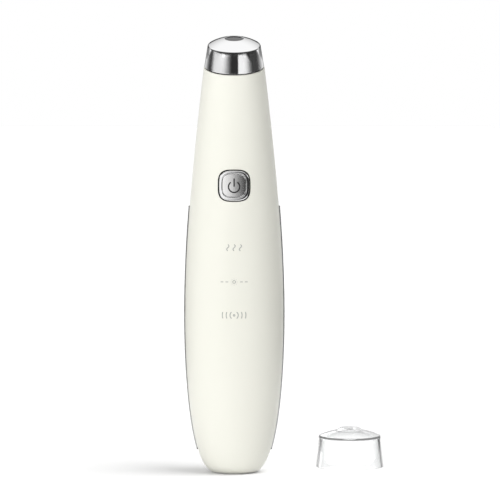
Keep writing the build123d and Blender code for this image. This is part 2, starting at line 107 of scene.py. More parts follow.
class HandleSizes(bpy.types.PropertyGroup):
    body_width: length("Body width", "Widest part of the handle, side to side", 36.4)
    body_depth: length("Body depth", "Deepest part of the handle, front to rear", 33.4)
    belly_height: length("Belly height", "Height of the widest part", 58.6)
    foot_width: length("Foot width", "Width of the flat foot", 11.8)
    foot_depth: length("Foot depth", "Depth of the flat foot", 11.2)
    foot_fullness: number("Foot fullness", "Power of the curve that rounds the foot", 0.37)
    neck_width: length("Neck width", "Diameter of the neck under the head", 22.2)
    taper_blend: length("Taper blend", "How slowly the taper above the belly sets in", 60.0)
    straight_height: length("Straight height", "Height at which the handle starts to lean", 100.0)
    neck_arc_length: length("Neck arc length", "Length of the leaning stretch", 50.8)
    head_tilt: angle("Head tilt", "How far the head leans to the front", 16.5)
    wall: length("Wall", "Thickness of the two casings", 2.0)
    neck_bore: length("Neck bore", "Diameter of the opening under the head", 18.4)
    seam_radius: length("Seam radius", "Rounding of the casings' edges along their seam", 0.12)
    seam_gap: length("Seam gap", "Half the gap between the two casings", 0.01)
    lip_radius: length("Lip radius", "Rounding of the casings' edge under the head", 0.3)


class TrimSizes(bpy.types.PropertyGroup):
    low: length("Lower end", "Height of the strips' lower end", 8.6)
    high: length("Upper end", "Height of the strips' upper end", 98.9)
    proud: length("Proud", "How far the strips stand out of the casings", 0.42)
    depth: length("Depth", "How deep the strips sit in the casings", 0.8)
    thickness: length("Thickness", "Width of the strips as seen from the side", 1.0)
    gap: length("Gap", "Gap between a strip and its groove", 0.05)
    edge_radius: length("Edge radius", "Rounding of the strips' edges", 0.16)
    # Painted shade: this stretch at a strip's lower end, and half of it at the upper end, is
    # painted dark.
    painted_shade_end: length("Dark end", "Length of the strips' dark end stops", 0.5)


class HeadSizes(bpy.types.PropertyGroup):
    base_width: length("Base width", "Diameter of the metal head at the neck", 21.9)
    top_width: length("Top width", "Diameter of the metal head at its rim", 19.3)
    side_height: length("Side height", "Height of the head's conical side", 8.4)
    dome_rise: length("Dome rise", "Height of the domed top above the rim", 2.8)
    wall: length("Wall", "Thickness of the head's side", 1.0)
    crown: length("Crown", "Thickness of the top at the rim", 0.9)
    edge_radius: length("Edge radius", "Rounding of the rim", 1.1)
    # Painted shade: the face of this gap is painted dark.
    base_gap: length("Base gap", "Height of the dark shadow gap at the head's base", 0.4)
    window_width: length("Window width", "Diameter of the round window in the top", 6.9)
    lens_recess: length("Lens recess", "How deep the lens lies in the window", 0.35)
    lens_flange_width: length("Lens flange", "Diameter of the lens's hidden flange", 8.6)
    flange_thickness: length("Flange thickness", "Thickness of the lens's hidden flange", 0.8)
    flange_radius: length("Flange radius", "Rounding of the lens's hidden flange", 0.08)
    lens_gap: length("Lens gap", "Gap between the lens and the window", 0.05)
    lens_radius: length("Lens radius", "Rounding of the lens's edge", 0.15)
    lens_bulge: length("Lens bulge", "How far the lens's face rises at its middle", 0.12)
    window_radius: length("Window radius", "Rounding of the window's edge", 0.1)
    base_step: length("Base step", "How far the shadow gap at the head's base goes in", 0.3)
    step_radius: length("Step radius", "Rounding of the edge over the shadow gap", 0.06)
    lip_radius: length("Lip radius", "Rounding of the head's inner edge at its base", 0.1)
    ceiling_radius: length("Ceiling radius", "Rounding under the top on the inside", 0.3)


class ButtonSizes(bpy.types.PropertyGroup):
    height: length("Height", "Height of the button's centre", 106.8)
    frame_width: length("Frame width", "Width of the metal frame", 11.9)
    frame_height: length("Frame height", "Height of the metal frame", 11.7)
    squareness: number("Squareness", "Power of the frame's softly squared outline", 3.2)
    rim: length("Rim", "Width of the frame's ring", 1.45)
    frame_proud: length("Frame proud", "How far the frame stands out of the casing", 0.6)
    frame_depth: length("Frame depth", "How deep the frame reaches into the casing", 2.6)
    # Painted shade: the recess round the frame, and a short line up its side, are painted dark.
    shadow_gap: length("Shadow gap", "Width of the dark recess round the frame", 0.38)
    outer_radius: length("Outer radius", "Rounding of the frame's outer edge", 0.3)
    inner_radius: length("Inner radius", "Rounding of the frame's inner edge", 0.18)
    recess_height: length("Recess height", "Height of the dark recess over the casing", 0.04)
    recess_line: length("Recess line", "Height of the dark line up the frame's side", 0.03)
    hole_radius: length("Hole radius", "Rounding of the casing's edge round the frame", 0.03)
    patch: length("Patch", "Half the side of the casing's patch round the frame", 8.6)
    side_gap: length("Side gap", "Gap between the frame and the plate", 0.1)
    plate_proud: length("Plate proud", "How far the plate stands out of the casing", 0.3)
    plate_overhang: length("Plate overhang", "How much deeper the plate is than the frame", 0.25)
    edge_radius: length("Edge radius", "Rounding of the plate's edge", 0.2)
    stem_radius: length("Stem radius", "Radius of the plate's stem inside", 1.5)
    symbol_width: length("Symbol width", "Diameter of the on/off ring", 4.6)
    symbol_stroke: length("Symbol stroke", "Line width of the on/off mark", 0.5)
    symbol_drop: length("Symbol drop", "How far the ring lies below the button's centre", 0.4)
    symbol_gap: angle("Symbol gap", "Opening at the top of the ring", 70.0)
    symbol_bar: length("Symbol bar", "Length of the bar in the opening", 3.1)
    symbol_depth: length("Symbol depth", "How deep the mark sits in the plate", 0.05)
    symbol_proud: length("Symbol proud", "How far the mark stands out of the plate", 0.02)


class MarkSizes(bpy.types.PropertyGroup):
    heat_height: length("Heat mark", "Height of the centre of the heat mark", 84.2)
    light_height: length("Light mark", "Height of the centre of the light mark", 71.7)
    pulse_height: length("Pulse mark", "Height of the centre of the vibration mark", 59.5)
    tall: length("Tall", "Height of each printed mark", 2.4)
    stroke: length("Stroke", "Line width of the printed marks", 0.36)
    fine_stroke: length("Fine stroke", "Line width of the light mark", 0.288)
    ink: length("Ink", "Thickness of the printed marks", 0.015)
    wave_swing: length("Wave swing", "How far the heat mark's waves swing to a side", 0.4)
    wave_step: length("Wave step", "From one wave of the heat mark to the next", 2.3)
    sun_radius: length("Sun radius", "Radius of the light mark's ring", 0.5)
    ray_start: length("Ray start", "Where the light mark's rays start from its centre", 1.0)
    dash_start: length("Dash start", "Where the light mark's dashes start from its centre", 2.1)
    dash_length: length("Dash length", "Length of a dash beside the light mark", 1.1)
    dash_step: length("Dash step", "From one dash to the next", 1.8)
    dot_radius: length("Dot radius", "Radius of the ring in the vibration mark", 0.28)
    first_arc: length("First arc", "Radius of the vibration mark's smallest arcs", 1.5)
    arc_step: length("Arc step", "From one arc of the vibration mark to the next", 1.4)


class CapSizes(bpy.types.PropertyGroup):
    side: length("Side", "Distance of the cap's axis to the side of the handle", 43.3)
    back: length("Back", "Distance of the cap's axis behind the handle", 17.0)
    wall: length("Wall", "Thickness of the cap", 1.0)
    base_gap: length("Base gap", "Gap round the head at the cap's mouth", 0.8)
    shoulder_gap: length("Shoulder gap", "Gap round the head at the cap's shoulder", 1.0)
    skirt: length("Skirt", "How far the cap's side is longer than the head's", 2.4)
    dome_rise: length("Dome rise", "Height of the cap's shallow dome", 2.5)
    disc_width: length("Disc width", "Diameter of the raised disc on top", 6.4)
    disc_base_width: length("Disc base width", "Diameter of the raised disc at its foot", 10.4)
    disc_rise: length("Disc rise", "Height of the raised disc", 0.6)
    edge_radius: length("Edge radius", "Rounding of the shoulder", 0.6)
    inner_radius: length("Inner radius", "Rounding of the shoulder on the inside", 0.3)
    disc_foot_radius: length("Disc foot radius", "Rounding round the raised disc's foot", 0.6)
    disc_radius: length("Disc radius", "Rounding of the raised disc's edge", 0.3)
    lip_radius: length("Lip radius", "Rounding of the cap's mouth", 0.3)


class SocketSizes(bpy.types.PropertyGroup):
    height: length("Height", "Height of the charging socket's middle", 13.43)
    width: length("Width", "Width of the charging socket", 8.94)
    tall: length("Tall", "Height of the socket's mouth", 3.26)
    side_gap: length("Side gap", "Gap between the socket and the casing", 0.15)
    patch_width: length("Patch width", "Half the width of the casing's patch there", 7.4)
    patch_tall: length("Patch tall", "Half the height of the casing's patch there", 4.4)
    edge_radius: length("Edge radius", "Rounding of the casing's edge round the socket", 0.25)


class WandColours(bpy.types.PropertyGroup):
    cream: colour("Cream", "Casing plastic", (0.95, 0.945, 0.855))
    chrome: colour("Chrome", "Polished head", (0.95, 0.95, 0.955))
    frame: colour("Frame", "Button frame", (0.9, 0.9, 0.905))
    plate: colour("Plate", "Button plate", (0.9, 0.895, 0.89))
    trim: colour("Trim", "Side strips", (0.46, 0.46, 0.46))
    ink: colour("Ink", "Printed marks", (0.5, 0.5, 0.46))
    # Dark is also painted shade in the gaps at the head's base and round the button frame, and at
    # the strips' ends.
    dark: colour("Dark", "On/off mark and dark gaps", (0.012, 0.012, 0.013))
    lens: colour("Lens", "Smoked window", (0.05, 0.05, 0.053))
    clear: colour("Clear", "Cap plastic", (0.985, 0.99, 0.99))


class StageSizes(bpy.types.PropertyGroup):
    distance: length("Distance", "From the camera to the handle", 1200.0)
    camera_height: length("Camera height", "Height of the camera above the floor", 147.0)
    aim_height: length("Aim height", "Height that the camera looks at", 82.5)
    aim_side: length("Aim side", "How far beside the handle the camera stands", 5.8)
    view_width: length("View width", "Width that the picture spans at the handle", 185.0)
    floor_size: length("Floor size", "Side of the square floor", 16000.0)
    daylight: number("Daylight", "Strength of the even light from all round", 0.415)
    key_level: number("Key level", "Share of white that the front lamp gives", 0.388)
    fill_level: number("Fill level", "Share of white that the rear lamp gives", 0.12)
    lamp_distance: length("Lamp distance", "From the wand to the two lamps", 1400.0)
    lamp_size: length("Lamp size", "Side of the two square lamps", 900.0)
    lamp_aim: length("Lamp aim", "Height that the two lamps shine at", 80.0)
    lamp_rise: angle("Lamp rise", "How steeply the two lamps shine down", 12.0)
    shadow_level: number("Shadow level", "Share of white that the two suns give the floor", 1.22)
    floor_paint: number("Floor paint", "How pale the floor looks", 0.55)
    floor_return: number("Floor return", "Share of the light that the floor throws back", 0.45)
    floor_glow: number("Floor glow", "Share of white that the floor shows without light", 0.13)
    card_distance: length("Card distance", "From the wand to the dark cards round it", 300.0)


# ---------------------------------------------------------------- the handle's form


def spine(s, h):
    """The handle's centre line at s: upright, then an arc that leans to the front. Gives the
    point and the directions to the rear and along the line."""
    radius = h.neck_arc_length / h.head_tilt
    lean = np.maximum(s - h.straight_height, 0) / radius
    nought = np.zeros_like(lean)
    rise = np.minimum(s, h.straight_height) + radius * np.sin(lean)
    centre = np.stack([nought, radius * (np.cos(lean) - 1), rise], -1)
    rear = np.stack([nought, np.cos(lean), np.sin(lean)], -1)
    along = np.stack([nought, -np.sin(lean), np.cos(lean)], -1)
    return centre, rear, along


def spine_length(h):
    """Length of the centre line, from the foot to the neck."""
    return h.straight_height + h.neck_arc_length


def half_size(s, foot, belly, neck, h):
    """Half a width or depth at s: from the foot a power curve up to the belly, then a hyperbola
    that falls away evenly to the neck. Below 0, s runs in over the flat foot to its centre."""
    v = 1 - np.clip(s, 0, h.belly_height) / h.belly_height
    low = foot + (belly - foot) * (1 - v * v) ** h.foot_fullness
    full_drop = math.hypot(spine_length(h) - h.belly_height, h.taper_blend) - h.taper_blend
    drop = np.hypot(s - h.belly_height, h.taper_blend) - h.taper_blend
    high = belly - (belly - neck) * drop / full_drop
    share = np.clip(1 + s / (h.foot_width / 2), 0, 1)
    return np.where(s <= h.belly_height, low, high) * share / 2


def half_across(s, h):
    """Half the handle's width at s."""
    return half_size(s, h.foot_width, h.body_width, h.neck_width, h)


def half_deep(s, h):
    """Half the handle's depth at s."""
    return half_size(s, h.foot_depth, h.body_depth, h.neck_width, h)


def bare_point(s, theta, side, h):
    """A point of the handle's skin: an ellipse across the spine, with the half width times the
    sine of theta sideways and the half depth times its cosine to the front or rear."""
    centre, rear, _ = spine(np.maximum(s, 0), h)
    across = half_across(s, h) * np.sin(theta)
    deep = side * half_deep(s, h) * np.cos(theta)
    point = centre + deep[..., None] * rear
    point[..., 0] += across
    return point


def skin_normal(s, theta, side, h):
    """The skin's outward direction: the cross product of its slopes round and along the handle,
    and straight down under the foot."""
    turn = 1e-3
    safe = np.maximum(s, 1e-3 * MM)
    step = 1e-3 * safe
    round_it = bare_point(safe, theta + turn, side, h) - bare_point(safe, theta - turn, side, h)
    up_it = bare_point(safe + step, theta, side, h) - bare_point(safe - step, theta, side, h)
    normal = -side * np.cross(round_it, up_it)
    normal /= np.linalg.norm(normal, axis=-1, keepdims=True)
    return np.where((s <= 0)[..., None], np.array([0.0, 0.0, -1.0]), normal)


def skin_point(s, theta, side, inset, h):
    """A point of the handle's skin, moved in square to it by the inset."""
    inset = np.broadcast_to(inset, np.broadcast(s, theta).shape)
    return bare_point(s, theta, side, h) - inset[..., None] * skin_normal(s, theta, side, h)


def seen_point(x, z, side, inset, h):
    """The point of the inset skin that lies straight behind (x, z) as seen from the front or
    rear. The place on the bare skin is shifted by what is still missing until it fits."""
    aim_x, aim_z = np.array(x, float), np.array(z, float)
    for _ in range(6):
        s = aim_z.copy()
        for _ in range(6):
            theta = np.arcsin(np.clip(aim_x / half_across(s, h), -1, 1))
            s = s + aim_z - bare_point(s, theta, side, h)[..., 2]
        point = skin_point(s, theta, side, inset, h)
        aim_x += x - point[..., 0]
        aim_z += z - point[..., 2]
    return point


# ---------------------------------------------------------------- outlines and meshes


def soft_box(phi, half_width, half_height, power):
    """Distance from the centre to the edge of a softly squared outline in the direction phi: the
    cosine over the half width and the sine over the half height, each to the power, sum to
    one."""
    c, s = np.abs(np.cos(phi)) / half_width, np.abs(np.sin(phi)) / half_height
    return (c**power + s**power) ** (-1 / power)


def slot_edge(phi, half_width, half_height):
    """Distance from the centre to the edge of a slot with round ends in the direction phi: to its
    flat side, or to an end's arc by the cosine rule."""
    c, s = np.abs(np.cos(phi)) + 1e-12, np.abs(np.sin(phi)) + 1e-12
    middle = half_width - half_height
    to_end = c * middle + np.sqrt(np.maximum(half_height**2 - (s * middle) ** 2, 0))
    return np.where(half_height / s * c <= middle, half_height / s, to_end)


def filleted(corners, steps=6):
    """A closed outline from corners (a, b, radius), with an arc at each corner that touches both
    of its sides."""
    out = []
    points = [np.array(c[:2], float) for c in corners]
    for i, (_, _, radius) in enumerate(corners):
        here = points[i]
        back, on = points[i - 1] - here, points[(i + 1) % len(points)] - here
        back, on = back / np.linalg.norm(back), on / np.linalg.norm(on)
        half = math.acos(np.clip(back @ on, -1, 1)) / 2
        if radius == 0 or half > math.radians(89.9):
            out.append(here[None])
            continue
        middle = here + (back + on) / np.linalg.norm(back + on) * radius / math.sin(half)
        start = here + back * radius / math.tan(half) - middle
        turn = np.linspace(0, math.pi - 2 * half, steps + 1)[:, None]
        other = here + on * radius / math.tan(half) - middle
        swing = other - start * math.cos(math.pi - 2 * half)
        swing /= max(np.linalg.norm(swing), 1e-15)
        out.append(middle + np.cos(turn) * start + np.sin(turn) * swing * radius)
    return np.concatenate(out)


def grid_faces(index):
    """Four-sided faces between the neighbouring rows and columns of a grid of point numbers."""
    return np.stack([index[:-1, :-1], index[:-1, 1:], index[1:, 1:], index[1:, :-1]], -1)


def shaded_mesh(name, points, faces, shade):
    """A mesh that also holds the share of the dark tone at each point."""
    mesh = bpy.data.meshes.new(name)
    mesh.from_pydata(points.reshape(-1, 3).tolist(), [], faces.reshape(-1, 4).tolist())
    share = mesh.attributes.new("shade", "FLOAT", "POINT")
    share.data.foreach_set("value", shade.reshape(-1).astype(np.float32))
    return mesh


def placed(name, data):
    """An object in the scene with its mesh, lamp or camera."""
    obj = bpy.data.objects.new(name, data)
    bpy.context.scene.collection.objects.link(obj)
    return obj


def with_ends(grid, first, last):
    """A grid with one more row at each end, where it draws together to a point."""
    first, last = (np.broadcast_to(point, grid[:1].shape) for point in (first, last))
    return np.concatenate([first, grid, last])


class Skin:
    """Points and faces gathered from several grids, which join where their points coincide."""

    def __init__(self):
        self.points, self.faces, self.shades, self.count = [], [], [], 0

    def add(self, grid, wrap_rows=False, wrap_columns=False, leave=None, shade=0.0):
        """Adds a grid of points, row by row, with four-sided faces; leave marks faces to skip,
        and shade is how much painted shade each point gets."""
        rows, columns = grid.shape[:2]
        index = np.arange(rows * columns).reshape(rows, columns) + self.count
        if wrap_rows:
            index = np.concatenate([index, index[:1]])
        if wrap_columns:
            index = np.concatenate([index, index[:, :1]], axis=1)
        quads = grid_faces(index)
        if leave is not None:
            quads = quads[~leave]
        self.points.append(grid.reshape(-1, 3))
        self.shades.append(np.broadcast_to(shade, grid.shape[:2]).reshape(-1))
        self.faces.append(quads.reshape(-1, 4))
        self.count += rows * columns
        return self

    def add_ring(self, grid, shade=0.0):
        """Adds a grid that closes on itself both ways."""
        return self.add(grid, wrap_rows=True, wrap_columns=True, shade=shade)

    def piece(self, name, body, slot, material, stands_for=()):
        """Makes the object: joins points that coincide, turns the faces outwards and smooths
        them."""
        mesh = shaded_mesh(name, *map(np.concatenate, (self.points, self.faces, self.shades)))
        work = bmesh.new()
        work.from_mesh(mesh)
        bmesh.ops.remove_doubles(work, verts=work.verts, dist=JOIN)
        bmesh.ops.dissolve_degenerate(work, edges=work.edges, dist=JOIN / 10)
        bmesh.ops.recalc_face_normals(work, faces=work.faces)
        work.to_mesh(mesh)
        work.free()
        mesh.shade_smooth()
        mesh.set_sharp_from_angle(angle=math.radians(SHARP))
        mesh.materials.append(material)
        obj = placed(name, mesh)
        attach(obj, body)
        if stands_for:
            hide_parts(*stands_for)
        return obj


def smooth(x):
    """Rises smoothly from 0 to 1: three times the square less twice the cube."""
    x = np.clip(x, 0, 1)
    return x * x * (3 - 2 * x)


def ball_radius(half_width, rise):
    """Radius of a dome: the squares of its half width and its rise, over twice the rise."""
    return (half_width**2 + rise**2) / (2 * rise)


def turned(profile, segments, place):
    """A grid turned about an axis: radius times cosine and sine round it, and height along it.
    place moves the points from that axis to where they belong."""
    phi = np.linspace(0, 2 * math.pi, segments, endpoint=False)
    radius, height = profile[:, :1], profile[:, 1:]
    local = np.stack(np.broadcast_arrays(radius * np.cos(phi), radius * np.sin(phi), height), -1)
    return place(local)


def on_head(h):
    """Places points drawn about an axis, with the head's base at height 0, on the leaning
    neck."""
    centre, rear, along = spine(np.array(spine_length(h)), h)
    frame_axes = np.stack([np.array([1.0, 0, 0]), rear, along])
    return lambda local: centre + local @ frame_axes


def rounding(radius):
    """How far along and how deep a rounded edge runs, from its deep end to where it meets the
    face."""
    turn = np.linspace(0, math.pi / 2, 5)
    return radius * (1 - np.cos(turn)), radius * (1 - np.sin(turn))


# ---------------------------------------------------------------- materials


def fill(tree, node, inputs):
    """Sets a node's inputs: a socket is linked to the input, and any other value is written in
    it."""
    for name, value in inputs.items():
        if isinstance(value, bpy.types.NodeSocket):
            tree.links.new(value, node.inputs[name])
        else:
            node.inputs[name].default_value = value


def new_node(tree, kind, inputs=None, **settings):
    """A shader node with its settings and inputs."""
    node = tree.nodes.new("ShaderNode" + kind)
    for name, value in settings.items():
        setattr(node, name, value)
    fill(tree, node, inputs or {})
    return node


def grain_group():
    """Even grain: noise on the piece's own coordinates, stretched along each axis, brought
    between two values."""
    if "Even grain" in bpy.data.node_groups:
        return bpy.data.node_groups["Even grain"]
    group = bpy.data.node_groups.new("Even grain", "ShaderNodeTree")
    sockets = {"Per metre": 1000.0, "Stretch": (1, 1, 1), "Low": 0.0, "High": 1.0}
    for label, default in sockets.items():
        kind = "NodeSocketVector" if label == "Stretch" else "NodeSocketFloat"
        socket = group.interface.new_socket(label, in_out="INPUT", socket_type=kind)
        socket.default_value = default
    group.interface.new_socket("Value", in_out="OUTPUT", socket_type="NodeSocketFloat")
    given = group.nodes.new("NodeGroupInput").outputs
    own = new_node(group, "TexCoord").outputs["Object"]
    place = new_node(group, "VectorMath", {0: own, 1: given["Stretch"]}, operation="MULTIPLY")
    noise = new_node(group, "TexNoise", {"Vector": place.outputs[0], "Scale": given["Per metre"]})
    limits = {"From Min": 0.3, "From Max": 0.7, "To Min": given["Low"], "To Max": given["High"]}
    value = new_node(group, "MapRange", {"Value": noise.outputs["Fac"], **limits})
    fill(group, group.nodes.new("NodeGroupOutput"), {"Value": value.outputs["Result"]})
    return group


def grain(material, per_metre, low, high, stretch=(1, 1, 1)):
    """Places the even grain in a material with its own values, and gives its output."""
    values = {"Per metre": per_metre, "Stretch": stretch, "Low": low, "High": high}
    return new_node(material.node_tree, "Group", values, node_tree=grain_group()).outputs["Value"]


def shade_of(tree):
    """The piece's own share of the dark tone."""
    return new_node(tree, "Attribute", attribute_name="shade").outputs["Fac"]


def tone(material, dark, light, mask):
    """A colour that runs from one tone to another with a mask."""
    values = {"A": (*dark, 1), "B": (*light, 1), "Factor": mask}
    return new_node(material.node_tree, "Mix", values, data_type="RGBA").outputs["Result"]


def relief(material, height, distance):
    """Fine relief from a height that runs from 0 to 1, over a real distance."""
    values = {"Distance": distance, "Strength": 1.0, "Height": height}
    return new_node(material.node_tree, "Bump", values).outputs["Normal"]


def scaled(rgb, factor):
    """A colour made paler or darker by a factor."""
    return tuple(min(1.0, c * factor) for c in rgb)


def new_material(name):
    """A material with one Principled shader."""
    material = bpy.data.materials.new(name)
    material.use_nodes = True
    return material


def finish(material, inputs):
    """Fills in the material's one Principled shader, and gives the material."""
    fill(material.node_tree, material.node_tree.nodes["Principled BSDF"], inputs)
    return material


def plain_finish(
    name, rgb, rough, metallic=0.0, spread=0.06, per_metre=1500, bump=0.0, stretch=(1, 1, 1)
):
    """A finish whose colour wanders by a share either way, with rough in a range and a fine
    relief."""
    material = new_material(name)
    mottling = grain(material, per_metre / 3, 0, 1, stretch)
    if bump:
        fine = grain(material, per_metre * 2, 0, 1, stretch)
        finish(material, {"Normal": relief(material, fine, bump)})
    return finish(material, {
        "Metallic": metallic,
        "Base Color": tone(material, scaled(rgb, 1 - spread), scaled(rgb, 1 + spread), mottling),
        "Roughness": grain(material, per_metre, *rough, stretch),
    })


def cream_plastic():
    """Moulded cream plastic: a satin gloss with faint orange peel and a hint of mottling."""
    rgb = bpy.context.scene.wand_colours.cream
    material = new_material("cream_plastic")
    return finish(material, {
        "Base Color": tone(material, scaled(rgb, 0.993), rgb, grain(material, 60, 0, 1)),
        "Roughness": grain(material, 900, 0.3, 0.36),
        "Normal": relief(material, grain(material, 2600, 0, 1), 0.0000012),
        "IOR": PLASTIC_IOR,
    })


def shaded_metal(name, rgb, rough, per_metre, stretch=(1, 1, 1)):
    """Metal with faint marks in its roughness, and painted shade where the piece's shade
    attribute says so.
    """
    material = new_material(name)
    dark = bpy.context.scene.wand_colours.dark
    return finish(material, {
        "Metallic": 1.0,
        "Base Color": tone(material, rgb, dark, shade_of(material.node_tree)),
        "Roughness": grain(material, per_metre, *rough, stretch),
    })


def polished_chrome():
    """Mirror plate with faint wipe marks along its height, and painted shade in the gap at its
    base.
    """
    rgb = bpy.context.scene.wand_colours.chrome
    return shaded_metal("polished_chrome", rgb, (0.03, 0.07), 700, (1, 1, 0.35))


def frame_chrome():
    """Plated button frame, a little softer than the head, with painted shade in the recess round
    it.
    """
    return shaded_metal("frame_chrome", bpy.context.scene.wand_colours.frame, (0.04, 0.08), 1500)


def trim_metal():
    """Drawn metal strip with fine lines along its length, and painted shade at its ends."""
    rgb = bpy.context.scene.wand_colours.trim
    return shaded_metal("trim_metal", rgb, (0.22, 0.36), 1200, (6, 6, 0.15))


def satin_plate():
    """Satin metal with fine upright brushing."""
    rgb = bpy.context.scene.wand_colours.plate
    material = new_material("satin_plate")
    brushing = (8, 1, 0.4)
    lines = grain(material, 900, 0, 1, brushing)
    return finish(material, {
        "Metallic": 1.0,
        "Base Color": tone(material, scaled(rgb, 0.93), scaled(rgb, 1.05), lines),
        "Roughness": grain(material, 900, 0.07, 0.12, brushing),
        "Normal": relief(material, grain(material, 1500, 0, 1, brushing), 0.0000006),
    })


def printed_ink():
    """Pale grey pad print, a little mottled."""
    rgb = bpy.context.scene.wand_colours.ink
    return plain_finish("printed_ink", rgb, (0.42, 0.55), spread=0.04, per_metre=3000)


def dark_ink():
    """Dark matt ink with a fine tooth."""
    rgb = bpy.context.scene.wand_colours.dark
    return plain_finish("dark_ink", rgb, (0.42, 0.55), spread=0.2, per_metre=3000, bump=0.000001)


def smoked_window():
    """Smoked plastic, glossy and a little cloudy."""
    rgb = bpy.context.scene.wand_colours.lens
    material = new_material("smoked_window")
    clouds = grain(material, 500, 0, 1)
    return finish(material, {
        "Base Color": tone(material, scaled(rgb, 0.8), scaled(rgb, 1.1), clouds),
        "Roughness": grain(material, 1500, 0.08, 0.14),
        "Coat Weight": 0.1,
    })


def clear_plastic():
    """Clear moulded plastic: plain refraction with a trace of haze, greyer where it is seen edge
    on. After three to four glossy turns it glows a faint pale grey: painted light in its thick
    corners, in place of light that runs out of turns."""
    rgb = bpy.context.scene.wand_colours.clear
    material = new_material("clear_plastic")
    tree = material.node_tree
    facing = new_node(tree, "LayerWeight", {"Blend": 0.5}).outputs["Facing"]
    limits = {"Value": facing, "From Min": 0.35, "From Max": 0.85}
    edge = new_node(tree, "MapRange", limits, interpolation_type="SMOOTHSTEP").outputs["Result"]
    # Painted light: a faint pale glow after three to four glossy bounces.
    turns = new_node(tree, "LightPath").outputs["Glossy Depth"]
    limits = {"Value": turns, "From Min": 3.0, "From Max": 4.0, "To Max": 0.13}
    painted_glow = new_node(tree, "MapRange", limits).outputs["Result"]
    return finish(material, {
        "Base Color": tone(material, rgb, scaled(rgb, 0.7), edge),
        "Metallic": 0.0,
        "Transmission Weight": 1.0,
        "IOR": PLASTIC_IOR,
        "Roughness": grain(material, 700, 0.0, 0.03),
        "Emission Color": painted_glow,
        "Emission Strength": 1.0,
    })


INNER_FINISHES = {
    "heater_foil": dict(rgb=(0.62, 0.33, 0.08), rough=(0.25, 0.4), spread=0.15, per_metre=2500),
    "tinned_wire": dict(rgb=(0.7, 0.7, 0.7), rough=(0.25, 0.4), metallic=1.0),
    "circuit_board": dict(rgb=(0.03, 0.22, 0.09), rough=(0.3, 0.45), spread=0.25, bump=0.000012),
    "red_plastic": dict(rgb=(0.62, 0.03, 0.02), rough=(0.15, 0.25)),
    "white_plastic": dict(rgb=(0.78, 0.78, 0.75), rough=(0.4, 0.52), bump=0.000003),
    "black_plastic": dict(rgb=(0.03, 0.03, 0.032), rough=(0.4, 0.55), spread=0.15, bump=0.000003),
    "rubber": dict(rgb=(0.045, 0.045, 0.045), rough=(0.6, 0.8), spread=0.2, bump=0.000006),
    "plain_steel": dict(
        rgb=(0.62, 0.62, 0.63), rough=(0.2, 0.36), metallic=1.0, stretch=(1, 1, 6)
    ),
    "magnet": dict(rgb=(0.16, 0.16, 0.17), rough=(0.45, 0.65), spread=0.2, bump=0.00001),
    "copper_winding": dict(
        rgb=(0.66, 0.3, 0.13), rough=(0.2, 0.35), metallic=1.0, bump=0.00003, stretch=(1, 1, 9)
    ),
    "battery_film": dict(rgb=(0.04, 0.12, 0.42), rough=(0.18, 0.3), spread=0.08, bump=0.000004),
    "white_wire": dict(rgb=(0.78, 0.78, 0.78), rough=(0.4, 0.55), bump=0.000004),
    "black_wire": dict(rgb=(0.03, 0.03, 0.03), rough=(0.4, 0.55), spread=0.2, bump=0.000004),
    "red_wire": dict(rgb=(0.55, 0.03, 0.02), rough=(0.4, 0.55), spread=0.12, bump=0.000004),
}


# ---------------------------------------------------------------- the pieces


def seam_places(h, t):
    """Distances from the seam at which a casing's skin gets a column of points, with their insets
    beside the groove and in it."""
    run, deep = rounding(h.seam_radius)
    groove = t.thickness / 2 + t.gap
    places = np.concatenate([run + h.seam_gap, [groove / 2, groove - HAIR, groove + HAIR]])
    outside = np.concatenate([deep, [0, 0, 0]])
    in_groove = np.array([1.0] * (len(places) - 1) + [0.0]) * (t.depth + t.gap)
    return places, outside, in_groove, groove


def casing_rows(h, t):
    """Places along the spine for a casing's rows: over the flat foot, closer where the foot
    curves, doubled at the groove's ends, and round the lip at the neck."""
    end = spine_length(h)
    foot = -h.foot_width / 2 * (1 - np.linspace(0, 1, 7))[:-1]
    lower = h.belly_height * np.linspace(0, 1, 70) ** 3
    upper = np.linspace(h.belly_height, end - 1.5 * h.lip_radius, 76)[1:]
    base = np.concatenate([foot, lower, upper])
    cuts = np.array([t.low - t.gap, t.high + t.gap])
    apart = 0.2 * MM
    clear = np.abs(base[:, None] - cuts).min(1) > apart
    run, _ = rounding(h.lip_radius)
    return np.sort(np.concatenate([base[clear], cuts - HAIR, cuts + HAIR, end - run[::-1]]))


